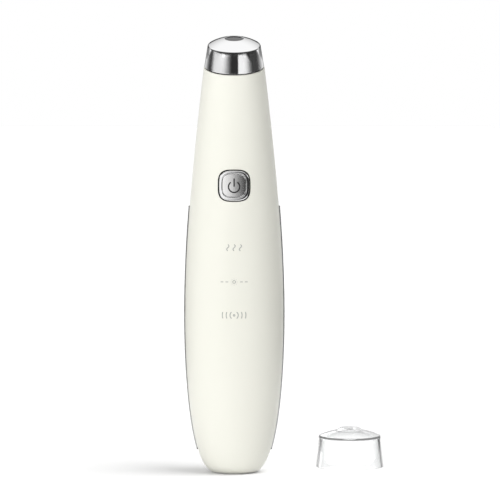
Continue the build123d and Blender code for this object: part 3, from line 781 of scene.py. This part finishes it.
def casing(side, opening, h, t):
    """Half the handle as a closed shell. Each row is a band: the skin from seam to seam, with
    rounded edges and the trim's groove, and the inner face back. Rows close up to a point at the
    foot's centre and to a ring at the neck. A patch of rings leads from the opening to the grid
    round it, which is left out as far from the opening's centre as its reach says."""
    s = casing_rows(h, t)
    places, outside, in_groove, groove = seam_places(h, t)
    ratio = np.minimum(1 / np.maximum(half_deep(s, h), 1e-9), 1 / (3 * groove))
    edge = np.arccos(places[None] * ratio[:, None])
    between = np.linspace(-1, 1, 99)[1:-1]
    theta = np.concatenate([-edge, edge[:, -1:] * between, edge[:, ::-1]], 1)
    rows, columns = theta.shape
    grooved = (s > t.low - t.gap) & (s < t.high + t.gap)
    edges = np.where(grooved[:, None], in_groove, outside)
    inset = np.concatenate([edges, np.zeros((rows, len(between))), edges[:, ::-1]], 1)
    from_lip = spine_length(h) - s
    lip = h.lip_radius - np.sqrt(
        np.maximum(h.lip_radius**2 - np.maximum(h.lip_radius - from_lip, 0) ** 2, 0)
    )
    inset = np.maximum(inset, lip[:, None])
    along = np.broadcast_to(s[:, None], theta.shape)
    outer = skin_point(along, theta, side, inset, h)
    inner = skin_point(along, theta, side, h.wall, h)
    neck_wall = (h.neck_width - h.neck_bore) / 2
    inner[-1] = skin_point(along[-1], theta[-1], side, neck_wall, h)
    band = np.concatenate([outer, inner[:, ::-1]], 1)
    middle = (outer[-1] + inner[-1]) / 2
    band = np.concatenate([band, np.concatenate([middle, middle[::-1]])[None]])

    centre_z = opening["height"]
    reach_x, reach_z = opening["reach"]
    first, last = np.searchsorted(s, [centre_z - reach_z, centre_z + reach_z])
    at_middle = half_across(np.array(centre_z), h) * np.sin(theta[(first + last) // 2])
    left = int(np.argmax(at_middle > -reach_x))
    right = columns - 1 - left
    leave = np.zeros((rows, 2 * columns), bool)
    leave[first:last, left:right] = True
    leave[first:last, 2 * columns - 1 - right : 2 * columns - 1 - left] = True
    skin = Skin().add(band, wrap_columns=True, leave=leave)

    loop = np.concatenate([
        [(first, j) for j in range(left, right)],
        [(i, right) for i in range(first, last)],
        [(last, j) for j in range(right, left, -1)],
        [(i, left) for i in range(last, first, -1)],
    ])
    rim, rim_inner = (grid[loop[:, 0], loop[:, 1]] for grid in (outer, inner))
    x, z = rim[:, 0], rim[:, 2] - centre_z
    phi = np.arctan2(z, x)
    run, deep = rounding(opening["edge_radius"])
    flat = 0.3 * MM
    grow = np.concatenate([run, run[-1:] + flat])
    sink = np.concatenate([deep, [0.0]])
    near = [opening["outline"](phi, g) for g in grow]
    far = np.hypot(x, z)
    between = [near[-1] * (1 - share) + far * share for share in (0.25, 0.5, 0.75)]

    def ring(radius, inset):
        """Points round the opening's centre."""
        return seen_point(radius * np.cos(phi), centre_z + radius * np.sin(phi), side, inset, h)

    rings = [ring(r, i) for r, i in zip(near + between, [*sink, 0.0, 0.0, 0.0])]
    rings = [rim] + rings[::-1] + [ring(near[0], h.wall), rim_inner]
    return skin.add(np.stack(rings), wrap_columns=True)


def strip(hand, h, t):
    """A trim strip: a rounded bar whose outline lies across the seam, between the proud face and
    the groove's floor, carried along the left or right side of the handle. Its ends close with a
    rounded edge, and are painted dark as shade."""
    half = t.thickness / 2
    corners = [
        (-half, t.depth, 0), (-half, -t.proud, t.edge_radius),
        (half, -t.proud, t.edge_radius), (half, t.depth, 0),
    ]
    outline = filleted(corners)
    run, deep = rounding(t.edge_radius)
    middle = np.linspace(t.low + t.painted_shade_end, t.high - t.painted_shade_end, 90)
    middle = np.concatenate([middle[:1] - SLIGHT, middle, middle[-1:] + SLIGHT])
    s = np.concatenate([t.low + run, middle, t.high - run[::-1]])
    cut = np.concatenate([deep, np.zeros(len(middle)), deep[::-1]])
    across = outline[:, 0][None] * (1 - cut / half)[:, None]
    inset = np.maximum(outline[:, 1][None], -t.proud + cut[:, None])
    theta = hand * np.arccos(np.abs(across) / half_deep(s, h)[:, None])
    along = np.broadcast_to(s[:, None], theta.shape)
    front, rear = (skin_point(along, theta, side, inset, h) for side in (FRONT, REAR))
    bar = np.where((across < 0)[..., None], front, rear)
    # Painted shade: the strip's ends are painted dark, as shade where they turn in.
    dark = (s < t.low + t.painted_shade_end) | (s > t.high - t.painted_shade_end / 2)
    dark = np.concatenate([[1.0], dark, [1.0]])[:, None]
    grid = with_ends(bar, bar[0].mean(0), bar[-1].mean(0))
    return Skin().add(grid, wrap_columns=True, shade=dark)


def frame_outline(inward, b):
    """The button frame's rounded outline, moved in by a distance."""
    half_width, half_height = b.frame_width / 2 - inward, b.frame_height / 2 - inward
    return lambda phi: soft_box(phi, half_width, half_height, b.squareness)


def carried_round(profile, b, h):
    """A grid whose profile (distance in from the frame's outline, height above the skin) is
    carried round the rounded outline, each point straight behind its place as seen from the
    front."""
    phi = np.linspace(0, 2 * math.pi, ROUND, endpoint=False)
    rows = []
    for inward, proud in profile:
        radius = frame_outline(inward, b)(phi)
        rows.append(
            seen_point(radius * np.cos(phi), b.height + radius * np.sin(phi), FRONT, -proud, h)
        )
    return np.stack(rows)


def run_along(path):
    """Distance along a path at each of its points."""
    return np.concatenate([[0], np.cumsum(np.linalg.norm(np.diff(path, axis=0), axis=1))])


def round_ended(path, width):
    """A path with more points near its ends, its direction, and half the width of a stroke there:
    a circle's height over the ends, and even between them."""
    run = run_along(path)
    ease = width / 2 * (1 - np.cos(np.linspace(0, math.pi / 2, 7)))
    even = run[(run > width / 2) & (run < run[-1] - width / 2)]
    finer = np.unique(np.concatenate([ease, even, run[-1] - ease]))
    path = np.stack([np.interp(finer, run, path[:, 0]), np.interp(finer, run, path[:, 1])], -1)
    tangent = np.gradient(path, finer, axis=0)
    run = run_along(path)
    to_end = np.minimum(np.minimum(run, run[-1] - run), width / 2)
    half = np.sqrt(np.maximum((width / 2) ** 2 - (width / 2 - to_end) ** 2, 0))
    return path, tangent, half


def add_stroke(skin, path, width, low, high, h, closed=False):
    """A flat stroke on the handle: a band of that width along a path seen from the front, from
    low to high above the skin, with rounded ends, or closed in a ring."""
    path = np.array(path, float)
    if closed:
        tangent = np.roll(path, -1, 0) - np.roll(path, 1, 0)
        half = np.full(len(path), width / 2)
    else:
        path, tangent, half = round_ended(path, width)
    tangent /= np.linalg.norm(tangent, axis=1, keepdims=True)
    normal = np.stack([-tangent[:, 1], tangent[:, 0]], -1)
    soft = 0.25 * (high - low)
    half_section = [(-1, low), (-1, high - soft), (-0.85, high)]
    section = half_section + [(-share, proud) for share, proud in half_section[::-1]]
    rows = []
    for share, proud in section:
        place = path + normal * (half * share)[:, None]
        rows.append(seen_point(place[:, 0], place[:, 1], FRONT, -proud, h))
    skin.add(np.stack(rows), wrap_rows=True, wrap_columns=closed)


def arc(radius, start, end, centre=(0, 0), steps=40):
    """Points of an arc, radius times cosine and sine of the angle, in degrees."""
    turn = np.radians(np.linspace(start, end, steps))
    return np.stack([centre[0] + radius * np.cos(turn), centre[1] + radius * np.sin(turn)], -1)


def line(start, end):
    """Points of a straight line."""
    return np.linspace(start, end, 16)


def cap_profile(thinner, c, h, d):
    """Half the cap's section, thinner all over by a distance: a cone, a shallow dome as an arc
    and a low raised disc, from the mouth to the axis."""
    base = h.neck_width / 2 + c.base_gap + c.wall - thinner
    shoulder = d.top_width / 2 + c.shoulder_gap + c.wall - thinner
    side = d.side_height + c.skirt + c.wall - thinner
    ball = ball_radius(shoulder, c.dome_rise)
    disc_base, disc_top = (c.disc_base_width - thinner) / 2, (c.disc_width - thinner) / 2
    top = side + c.dome_rise + c.disc_rise
    radius = np.linspace(shoulder, disc_base, 12)
    dome = side + c.dome_rise - ball + np.sqrt(ball**2 - radius**2)
    return base, radius, dome, disc_top, top


class WAND_OT_casings(bpy.types.Operator):
    """Makes the two cream casings, closed shells with openings for the button and the socket"""

    bl_idname = "wand.casings"
    bl_label = "Casings"

    def execute(self, context):
        scene = context.scene
        h, t, b, u = scene.wand_handle, scene.wand_trim, scene.wand_button, scene.wand_socket
        cream = cream_plastic()
        button_hole = {
            "height": b.height,
            "reach": (b.patch, b.patch),
            "edge_radius": b.hole_radius,
            "outline": lambda phi, grow: frame_outline(-t.gap - grow, b)(phi),
        }
        socket_hole = {
            "height": u.height,
            "reach": (u.patch_width, u.patch_tall),
            "edge_radius": u.edge_radius,
            "outline": lambda phi, grow: slot_edge(
                phi, u.width / 2 + u.side_gap + grow, u.tall / 2 + u.side_gap + grow
            ),
        }
        for name, side, hole in (("front", FRONT, button_hole), ("rear", REAR, socket_hole)):
            casing(side, hole, h, t).piece(
                f"{name}_casing", "handle", "cream_plastic", cream, [f"{name}_shell"]
            )
        return {"FINISHED"}


class WAND_OT_trim(bpy.types.Operator):
    """Makes the two metal strips that cover the seam"""

    bl_idname = "wand.trim"
    bl_label = "Side trim"

    def execute(self, context):
        h, t = context.scene.wand_handle, context.scene.wand_trim
        metal = trim_metal()
        for name, hand in (("left", -1), ("right", 1)):
            strip(hand, h, t).piece(
                f"{name}_side_trim", "handle", "trim_metal", metal, [f"{name}_trim_strip"]
            )
        return {"FINISHED"}


class WAND_OT_head(bpy.types.Operator):
    """Makes the polished metal head and the smoked window in its top"""

    bl_idname = "wand.head"
    bl_label = "Head and window"

    def execute(self, context):
        h, d = context.scene.wand_handle, context.scene.wand_head
        base, top, window = d.base_width / 2, d.top_width / 2, d.window_width / 2
        ball = ball_radius(top, d.dome_rise)
        ceiling = d.side_height - d.crown

        def dome(radius):
            """Height of the dome at a radius: a ball's height there."""
            return d.side_height + d.dome_rise - ball + math.sqrt(ball**2 - radius**2)

        def inner(height):
            """Inner radius of the cone at a height."""
            return base - d.wall - (base - top) * height / d.side_height

        crown = [(r, dome(r), 0) for r in np.linspace(top, window, 26)[2:-1]]
        step = base - (base - top) * d.base_gap / d.side_height
        sunk = base - d.base_step
        corners = [
            (inner(0), 0, d.lip_radius), (sunk, 0, 0), (sunk, d.base_gap, 0),
            (step, d.base_gap, d.step_radius), (top, d.side_height, d.edge_radius), *crown,
            (window, dome(window), d.window_radius), (window, ceiling, 0),
            (inner(ceiling), ceiling, d.ceiling_radius),
        ]
        outline = filleted(corners, 8)
        # Painted shade: the recessed face at the head's base is painted dark, as shade in the
        # gap.
        gap = (np.abs(outline[:, 0] - sunk) < SLIGHT).astype(float)[:, None]
        skin = Skin().add_ring(turned(outline, ROUND, on_head(h)), gap)
        skin.piece(
            "polished_head", "handle", "polished_metal", polished_chrome(), ["massage_head"]
        )

        lens, flange = window - d.lens_gap, d.lens_flange_width / 2
        face, under = dome(window) - d.lens_recess, ceiling - d.flange_thickness
        radii = np.linspace(lens, 0, 10)[1:]
        crest = [(r, face + d.lens_bulge * (1 - (r / lens) ** 2), 0) for r in radii]
        corners = [
            (0, under, 0), (flange, under, d.flange_radius), (flange, ceiling, d.flange_radius),
            (lens, ceiling, 0), (lens, face, d.lens_radius), *crest,
        ]
        skin = Skin().add_ring(turned(filleted(corners), 96, on_head(h)))
        skin.piece("head_window", "handle", "smoked_plastic", smoked_window(), ["head_lens"])
        return {"FINISHED"}


class WAND_OT_button(bpy.types.Operator):
    """Makes the button's metal frame, its pressed plate and the on/off mark"""

    bl_idname = "wand.button"
    bl_label = "Button"

    def execute(self, context):
        h, b = context.scene.wand_handle, context.scene.wand_button
        sunk = b.recess_height
        corners = [
            (0, -b.frame_depth, 0), (0, sunk, 0), (b.shadow_gap, sunk, 0),
            (b.shadow_gap, sunk + b.recess_line, 0),
            (b.shadow_gap, b.frame_proud, b.outer_radius),
            (b.rim, b.frame_proud, b.inner_radius), (b.rim, -b.frame_depth, 0),
        ]
        ring = filleted(corners, 8)
        inward, proud = ring.T
        # Painted shade: the recess round the frame is painted dark, as shade between frame and
        # casing.
        dark = (inward < b.shadow_gap + SLIGHT) & (proud < sunk + SLIGHT)
        skin = Skin().add_ring(carried_round(ring, b, h), dark.astype(float)[:, None])
        skin.piece("button_frame", "handle", "bezel_metal", frame_chrome(), ["button_bezel"])

        start = b.rim + b.side_gap
        middle = min(b.frame_width, b.frame_height) / 2
        reach = [(start + (middle - start) * k, b.plate_proud) for k in (0.1, 0.3, 0.6, 0.9)]
        back = -b.frame_depth - b.plate_overhang
        edge = filleted([
            (middle, back, 0), (start, back, 0),
            (start, b.plate_proud, b.edge_radius), (middle, b.plate_proud, 0),
        ])
        plate = carried_round(np.concatenate([edge[1:-1], reach]), b, h)
        back_centre, front_centre = (
            seen_point(np.zeros(1), np.full(1, b.height), FRONT, -proud, h)
            for proud in (back, b.plate_proud)
        )
        skin = Skin().add(with_ends(plate, back_centre, front_centre), wrap_columns=True)
        stem, ends = b.stem_radius, (back_centre[0, 1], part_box("power_button")[1].y)
        profile = np.array([(0, ends[0]), (stem, ends[0]), (stem, ends[1]), (0, ends[1])])

        def behind(local):
            """Places points drawn about an axis behind the button."""
            return np.stack([local[..., 0], local[..., 2], b.height + local[..., 1]], -1)

        skin.add(turned(profile, 48, behind), wrap_columns=True)
        skin.piece("button_plate", "button", "button_metal", satin_plate(), ["power_button"])

        skin = Skin()
        centre = (0, b.height - b.symbol_drop)
        half_gap = math.degrees(b.symbol_gap) / 2
        low, high = b.plate_proud - b.symbol_depth, b.plate_proud + b.symbol_proud
        middle = (b.symbol_width - b.symbol_stroke) / 2
        ring_path = arc(middle, 90 + half_gap, 450 - half_gap, centre, 90)
        add_stroke(skin, ring_path, b.symbol_stroke, low, high, h)
        bar = line(centre, (0, centre[1] + b.symbol_bar))
        add_stroke(skin, bar, b.symbol_stroke, low, high, h)
        skin.piece("on_off_mark", "button", "dark_ink", dark_ink(), ["power_symbol"])
        return {"FINISHED"}


class WAND_OT_marks(bpy.types.Operator):
    """Prints the three small grey marks for heat, light and vibration on the front"""

    bl_idname = "wand.marks"
    bl_label = "Printed marks"

    def execute(self, context):
        h, m = context.scene.wand_handle, context.scene.wand_marks
        ink = printed_ink()
        half = m.tall / 2
        low, high = -m.ink, m.ink

        def print_mark(name, height, strokes, rings=(), width=m.stroke):
            """One mark of strokes and rings about a point at that height."""
            skin = Skin()
            for path in strokes:
                add_stroke(skin, path + np.array([0, height]), width, low, high, h)
            for radius in rings:
                ring = arc(radius, 0, 360, (0, height), 41)[:-1]
                add_stroke(skin, ring, width, low, high, h, closed=True)
            skin.piece(name, "handle", "dark_ink", ink)

        rise = np.linspace(-half, half, 25)
        wave = m.wave_swing * np.sin(rise / half * math.pi)
        waves = [np.stack([x + wave, rise], -1) for x in (-m.wave_step, 0, m.wave_step)]
        print_mark("heat_mark", m.heat_height, waves)

        turns = np.radians(np.arange(0, 360, 45))
        ways = np.stack([np.cos(turns), np.sin(turns)], -1)
        strokes = [line(m.ray_start * way, half * way) for way in ways]
        for start in (m.dash_start, m.dash_start + m.dash_step):
            strokes += [
                line((side * start, 0), (side * (start + m.dash_length), 0)) for side in (-1, 1)
            ]
        print_mark("light_mark", m.light_height, strokes, [m.sun_radius], m.fine_stroke)

        arcs = []
        for radius in m.first_arc + m.arc_step * np.arange(3):
            spread = math.degrees(math.asin(half / max(radius, half * 1.15)))
            arcs += [arc(radius, turn - spread, turn + spread) for turn in (0, 180)]
        print_mark("pulse_mark", m.pulse_height, arcs, [m.dot_radius])
        return {"FINISHED"}


class WAND_OT_cap(bpy.types.Operator):
    """Makes the clear cap that stands beside the wand"""

    bl_idname = "wand.cap"
    bl_label = "Clear cap"

    def execute(self, context):
        scene = context.scene
        h, d, c = scene.wand_handle, scene.wand_head, scene.wand_cap
        halves = []
        for thinner, edge in ((0, c.edge_radius), (c.wall, c.inner_radius)):
            base, radius, dome, disc_top, top = cap_profile(thinner, c, h, d)
            halves.append(
                [(base, 0, c.lip_radius), (radius[0], dome[0], edge)]
                + [(r, z, 0) for r, z in zip(radius[2:-1], dome[2:-1])]
                + [(radius[-1], dome[-1], c.disc_foot_radius)]
                + [(disc_top, top, c.disc_radius), (0, top, 0)]
            )
        corners = halves[0] + halves[1][::-1]

        def beside(local):
            """Places points drawn about an axis beside the handle."""
            return local + np.array([c.side, c.back, 0])

        skin = Skin().add_ring(turned(filleted(corners, 8), ROUND, beside))
        cap = skin.piece("clear_cap", "cap", "clear_plastic", clear_plastic(), ["protective_cap"])
        cap.visible_shadow = cap.visible_diffuse = False
        return {"FINISHED"}


class WAND_OT_inner_parts(bpy.types.Operator):
    """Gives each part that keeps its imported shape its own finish"""

    bl_idname = "wand.inner_parts"
    bl_label = "Inner parts"

    def execute(self, context):
        made = {}
        for row in frame["record"]["subparts"]:
            obj, slot = frame["nodes"][row["node"]], row["material_slot"]
            if obj.hide_render:
                continue
            if slot not in made:
                made[slot] = plain_finish(slot, **INNER_FINISHES[slot])
            obj.data.materials.clear()
            obj.data.materials.append(made[slot])
        return {"FINISHED"}


# ---------------------------------------------------------------- stage


def toward(azimuth, elevation):
    """The direction to a place round the wand: azimuth 0 is the camera's side, and it grows to
    the right."""
    a, e = math.radians(azimuth), math.radians(elevation)
    return Vector((math.sin(a) * math.cos(e), -math.cos(a) * math.cos(e), math.sin(e)))


def add_light(kind, name, back, energy, **settings):
    """A lamp that shines from the direction back."""
    data = bpy.data.lights.new(name, kind)
    data.energy = energy
    for key, value in settings.items():
        setattr(data, key, value)
    lamp = placed(name, data)
    lamp.rotation_mode = "QUATERNION"
    lamp.rotation_quaternion = back.to_track_quat("Z", "Y")
    return lamp


def add_lamp(name, azimuth, level, g):
    """A square lamp that faces the wand; its level is the share of white that it gives a white
    surface facing it."""
    back = toward(azimuth, math.degrees(g.lamp_rise))
    power = level * 4 * math.pi * g.lamp_distance**2
    lamp = add_light("AREA", name, back, power, size=g.lamp_size)
    lamp.location = Vector((0, 0, g.lamp_aim)) + back * g.lamp_distance
    lamp.visible_glossy = False


def add_floor_sun(name, azimuth, elevation, spread, level, lit):
    """A distant lamp that lights only the floor, and so draws the wand's soft shadow on it; its
    level is the share of white that it gives the floor, and its spread is how wide it looks."""
    back = toward(azimuth, elevation)
    sun = add_light("SUN", name, back, level * math.pi / back.z, angle=math.radians(spread))
    sun.light_linking.receiver_collection = lit


def by_ray(tree, plain, seen):
    """One level for plain light, and another for what the camera, a reflection or a clear piece
    sees directly."""
    path = new_node(tree, "LightPath").outputs
    mask = path["Is Camera Ray"]
    for ray in ("Is Glossy Ray", "Is Transmission Ray"):
        mask = new_node(tree, "Math", {0: mask, 1: path[ray]}, operation="MAXIMUM").outputs[0]
    levels = {"Value": mask, "To Min": plain, "To Max": seen}
    return new_node(tree, "MapRange", levels).outputs["Result"]


def make_world(daylight):
    """White where it is seen, and an even light at the daylight's strength elsewhere."""
    world = bpy.data.worlds.new("studio")
    bpy.context.scene.world = world
    world.use_nodes = True
    tree = world.node_tree
    sky = {"Color": WHITE, "Strength": by_ray(tree, daylight, 1.0)}
    fill(tree, tree.nodes["Background"], sky)


def stage_material(name, kind, shaders):
    """A material that joins shaders in place of its Principled one; shaders takes the material's
    tree and gives what goes in the joining node."""
    material = new_material(name)
    tree = material.node_tree
    tree.nodes.remove(tree.nodes["Principled BSDF"])
    both = new_node(tree, kind, shaders(tree))
    fill(tree, tree.nodes["Material Output"], {"Surface": both.outputs[0]})
    return material


def floor_material(g):
    """White floor that keeps shadows: one share of what is seen is its own white, the rest is
    paint that takes the light. The paint throws back a little less light than it shows."""

    def shaders(tree):
        paint = {"Color": by_ray(tree, g.floor_return, g.floor_paint)}
        glow = {"Color": WHITE, "Strength": by_ray(tree, 0.0, g.floor_glow)}
        paint, glow = new_node(tree, "BsdfDiffuse", paint), new_node(tree, "Emission", glow)
        return {0: paint.outputs[0], 1: glow.outputs[0]}

    return stage_material("floor", "AddShader", shaders)


def card_material():
    """Dark by the card's own share, and clear elsewhere."""

    def shaders(tree):
        clear = new_node(tree, "BsdfTransparent")
        dark = new_node(tree, "Emission", {"Color": CARD_TONE})
        return {0: shade_of(tree), 1: clear.outputs[0], 2: dark.outputs[0]}

    return stage_material("dark_card", "MixShader", shaders)


def dark_card(name, azimuths, low, high, soft, depth, distance, material):
    """A curved card that is seen in reflections alone, and for the cap's walls also through clear
    pieces: a patch of a ball round the head, between two azimuths and two elevations. It fades
    over the soft angles at its left, right, lower and upper edges, and its depth is its darkest
    share. An elevation may be a function of the azimuth."""
    a = np.linspace(*azimuths, 120)[None]
    low, high = (
        np.broadcast_to(value(a) if callable(value) else value, a.shape) for value in (low, high)
    )
    left, right, under, over = soft
    e = low + (high - low) * np.linspace(0, 1, 60)[:, None]
    shade = smooth((a - azimuths[0]) / left) * smooth((azimuths[1] - a) / right)
    shade = depth * shade * smooth((e - low) / under) * smooth((high - e) / over)
    turn, rise = np.radians(a), np.radians(e)
    flat = distance * np.cos(rise)
    up = distance * np.sin(rise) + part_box("massage_head")[0].z
    points = np.stack(np.broadcast_arrays(flat * np.sin(turn), -flat * np.cos(turn), up), -1)
    faces = grid_faces(np.arange(e.size).reshape(e.shape))
    mesh = shaded_mesh(name, points, faces, shade)
    mesh.materials.append(material)
    card = placed(name, mesh)
    card.visible_camera = card.visible_diffuse = card.visible_shadow = False
    card.visible_transmission = False
    return card


def add_cards(distance):
    """The dark cards that draw the bands on the polished head, shade the button's plate and show
    up the clear cap's walls."""
    material = card_material()

    def belt_low(azimuth):
        return 5.5 - 12 * np.cos(np.radians(azimuth))

    def back_low(azimuth):
        return 6 - 9 * smooth((26 - np.abs(azimuth - 180)) / 14)

    def haze_top(azimuth):
        return -8.5 + 12.5 * smooth((np.abs(azimuth) - 46) / 14)

    # azimuths, low and high edge, soft angles, darkest share and share of the distance
    cards = {
        "front_card": ((-50, 19.5), -27, -7, (42, 6, 0.1, 4), 1.0, 1.0),
        "right_card": ((38, 155), -28, 4, (40, 55, 0.1, 1), 0.97, 1.01),
        "left_card": ((-150, -80), -29, 4, (40, 24, 0.1, 1), 0.95, 1.02),
        "back_card": ((125, 235), back_low, 28, (10, 10, 2, 7), 0.95, 1.03),
        "plate_card": ((-32, 85), -8.5, 6, (66, 20, 2, 2), 1.0, 2.0),
        "belt_card": ((-118, 118), belt_low, 36, (8, 8, 0.6, 20), 0.98, 0.33),
        "low_sky_card": ((122, 238), 3, 30, (12, 12, 1, 26), 0.5, 1.06),
        "high_sky_card": ((115, 245), 3, 66, (18, 18, 1, 58), 0.55, 1.07),
        "left_haze_card": ((-181, 0), -26, haze_top, (0.1, 4, 0.1, 0.5), 0.34, 1.08),
        "right_haze_card": ((-4, 181), -26, haze_top, (4, 0.1, 0.1, 0.5), 0.2, 1.09),
    }
    for name, (azimuths, low, high, soft, depth, reach) in cards.items():
        dark_card(name, azimuths, low, high, soft, depth, distance * reach, material)
    walls = {"cap_left_card": ((-177, -110), -10, 0.82), "cap_right_card": ((95, 150), -14, 0.88)}
    for name, (azimuths, high, depth) in walls.items():
        soft = (10, 8, 0.1, 6)
        card = dark_card(name, azimuths, -29, high, soft, depth, distance * 1.04, material)
        card.visible_transmission = True


class WAND_OT_stage(bpy.types.Operator):
    """Sets the white floor, the soft studio light and the camera"""

    bl_idname = "wand.stage"
    bl_label = "Stage"

    def execute(self, context):
        scene = context.scene
        g = scene.wand_stage
        half = g.floor_size / 2
        mesh = bpy.data.meshes.new("floor")
        corners = [(-half, -half, 0), (half, -half, 0), (half, half, 0), (-half, half, 0)]
        mesh.from_pydata(corners, [], [(0, 1, 2, 3)])
        mesh.materials.append(floor_material(g))
        floor = placed("floor", mesh)

        make_world(g.daylight)
        add_lamp("front_lamp", azimuth=-30, level=g.key_level, g=g)
        add_lamp("rear_lamp", azimuth=-155, level=g.fill_level, g=g)
        lit = bpy.data.collections.new("floor_only")
        lit.objects.link(floor)
        side, top = 0.7 * g.shadow_level, 0.35 * g.shadow_level
        add_floor_sun("side_sun", azimuth=70, elevation=62, spread=45, level=side, lit=lit)
        add_floor_sun("top_sun", azimuth=0, elevation=84, spread=150, level=top, lit=lit)
        add_cards(g.card_distance)

        data = bpy.data.cameras.new("camera")
        camera = placed("camera", data)
        scene.camera = camera
        camera.location = (g.aim_side, -g.distance, g.camera_height)
        aim = Vector((g.aim_side, 0, g.aim_height))
        camera.rotation_mode = "QUATERNION"
        camera.rotation_quaternion = (aim - camera.location).to_track_quat("-Z", "Y")
        data.sensor_width = 36.0
        data.lens = data.sensor_width * (aim - camera.location).length / g.view_width
        data.clip_start, data.clip_end = 0.01, 60.0
        scene.view_settings.view_transform = "Standard"
        return {"FINISHED"}


# ---------------------------------------------------------------- the add-on


GROUPS = {
    "wand_handle": HandleSizes,
    "wand_trim": TrimSizes,
    "wand_head": HeadSizes,
    "wand_button": ButtonSizes,
    "wand_marks": MarkSizes,
    "wand_cap": CapSizes,
    "wand_socket": SocketSizes,
    "wand_colours": WandColours,
    "wand_stage": StageSizes,
}

OPERATORS = (
    WAND_OT_casings,
    WAND_OT_trim,
    WAND_OT_head,
    WAND_OT_button,
    WAND_OT_marks,
    WAND_OT_cap,
    WAND_OT_inner_parts,
    WAND_OT_stage,
)


class WAND_PT_panel(bpy.types.Panel):
    """Lists the wand's sizes and the steps that make it"""

    bl_idname = "WAND_PT_panel"
    bl_label = "Eye massager wand"
    bl_space_type = "VIEW_3D"
    bl_region_type = "UI"
    bl_category = "Wand"

    def draw(self, context):
        for operator in OPERATORS:
            self.layout.operator(operator.bl_idname)
        for name in GROUPS:
            box = self.layout.box()
            sizes = getattr(context.scene, name)
            for key in sizes.bl_rna.properties.keys():
                if key not in ("rna_type", "name"):
                    box.prop(sizes, key)


def register():
    """Makes the sizes, the operators and the panel known."""
    for cls in (*GROUPS.values(), *OPERATORS, WAND_PT_panel):
        bpy.utils.register_class(cls)
    for name, cls in GROUPS.items():
        setattr(bpy.types.Scene, name, PointerProperty(type=cls))


def unregister():
    """Takes the sizes, the operators and the panel away again."""
    for name in GROUPS:
        delattr(bpy.types.Scene, name)
    for cls in (WAND_PT_panel, *reversed(OPERATORS), *reversed(GROUPS.values())):
        bpy.utils.unregister_class(cls)


def main():
    """Builds the wand piece by piece with the operators."""
    register()
    for operator in OPERATORS:
        getattr(bpy.ops.wand, operator.bl_idname.split(".")[1])()


if __name__ == "__main__":
    main()
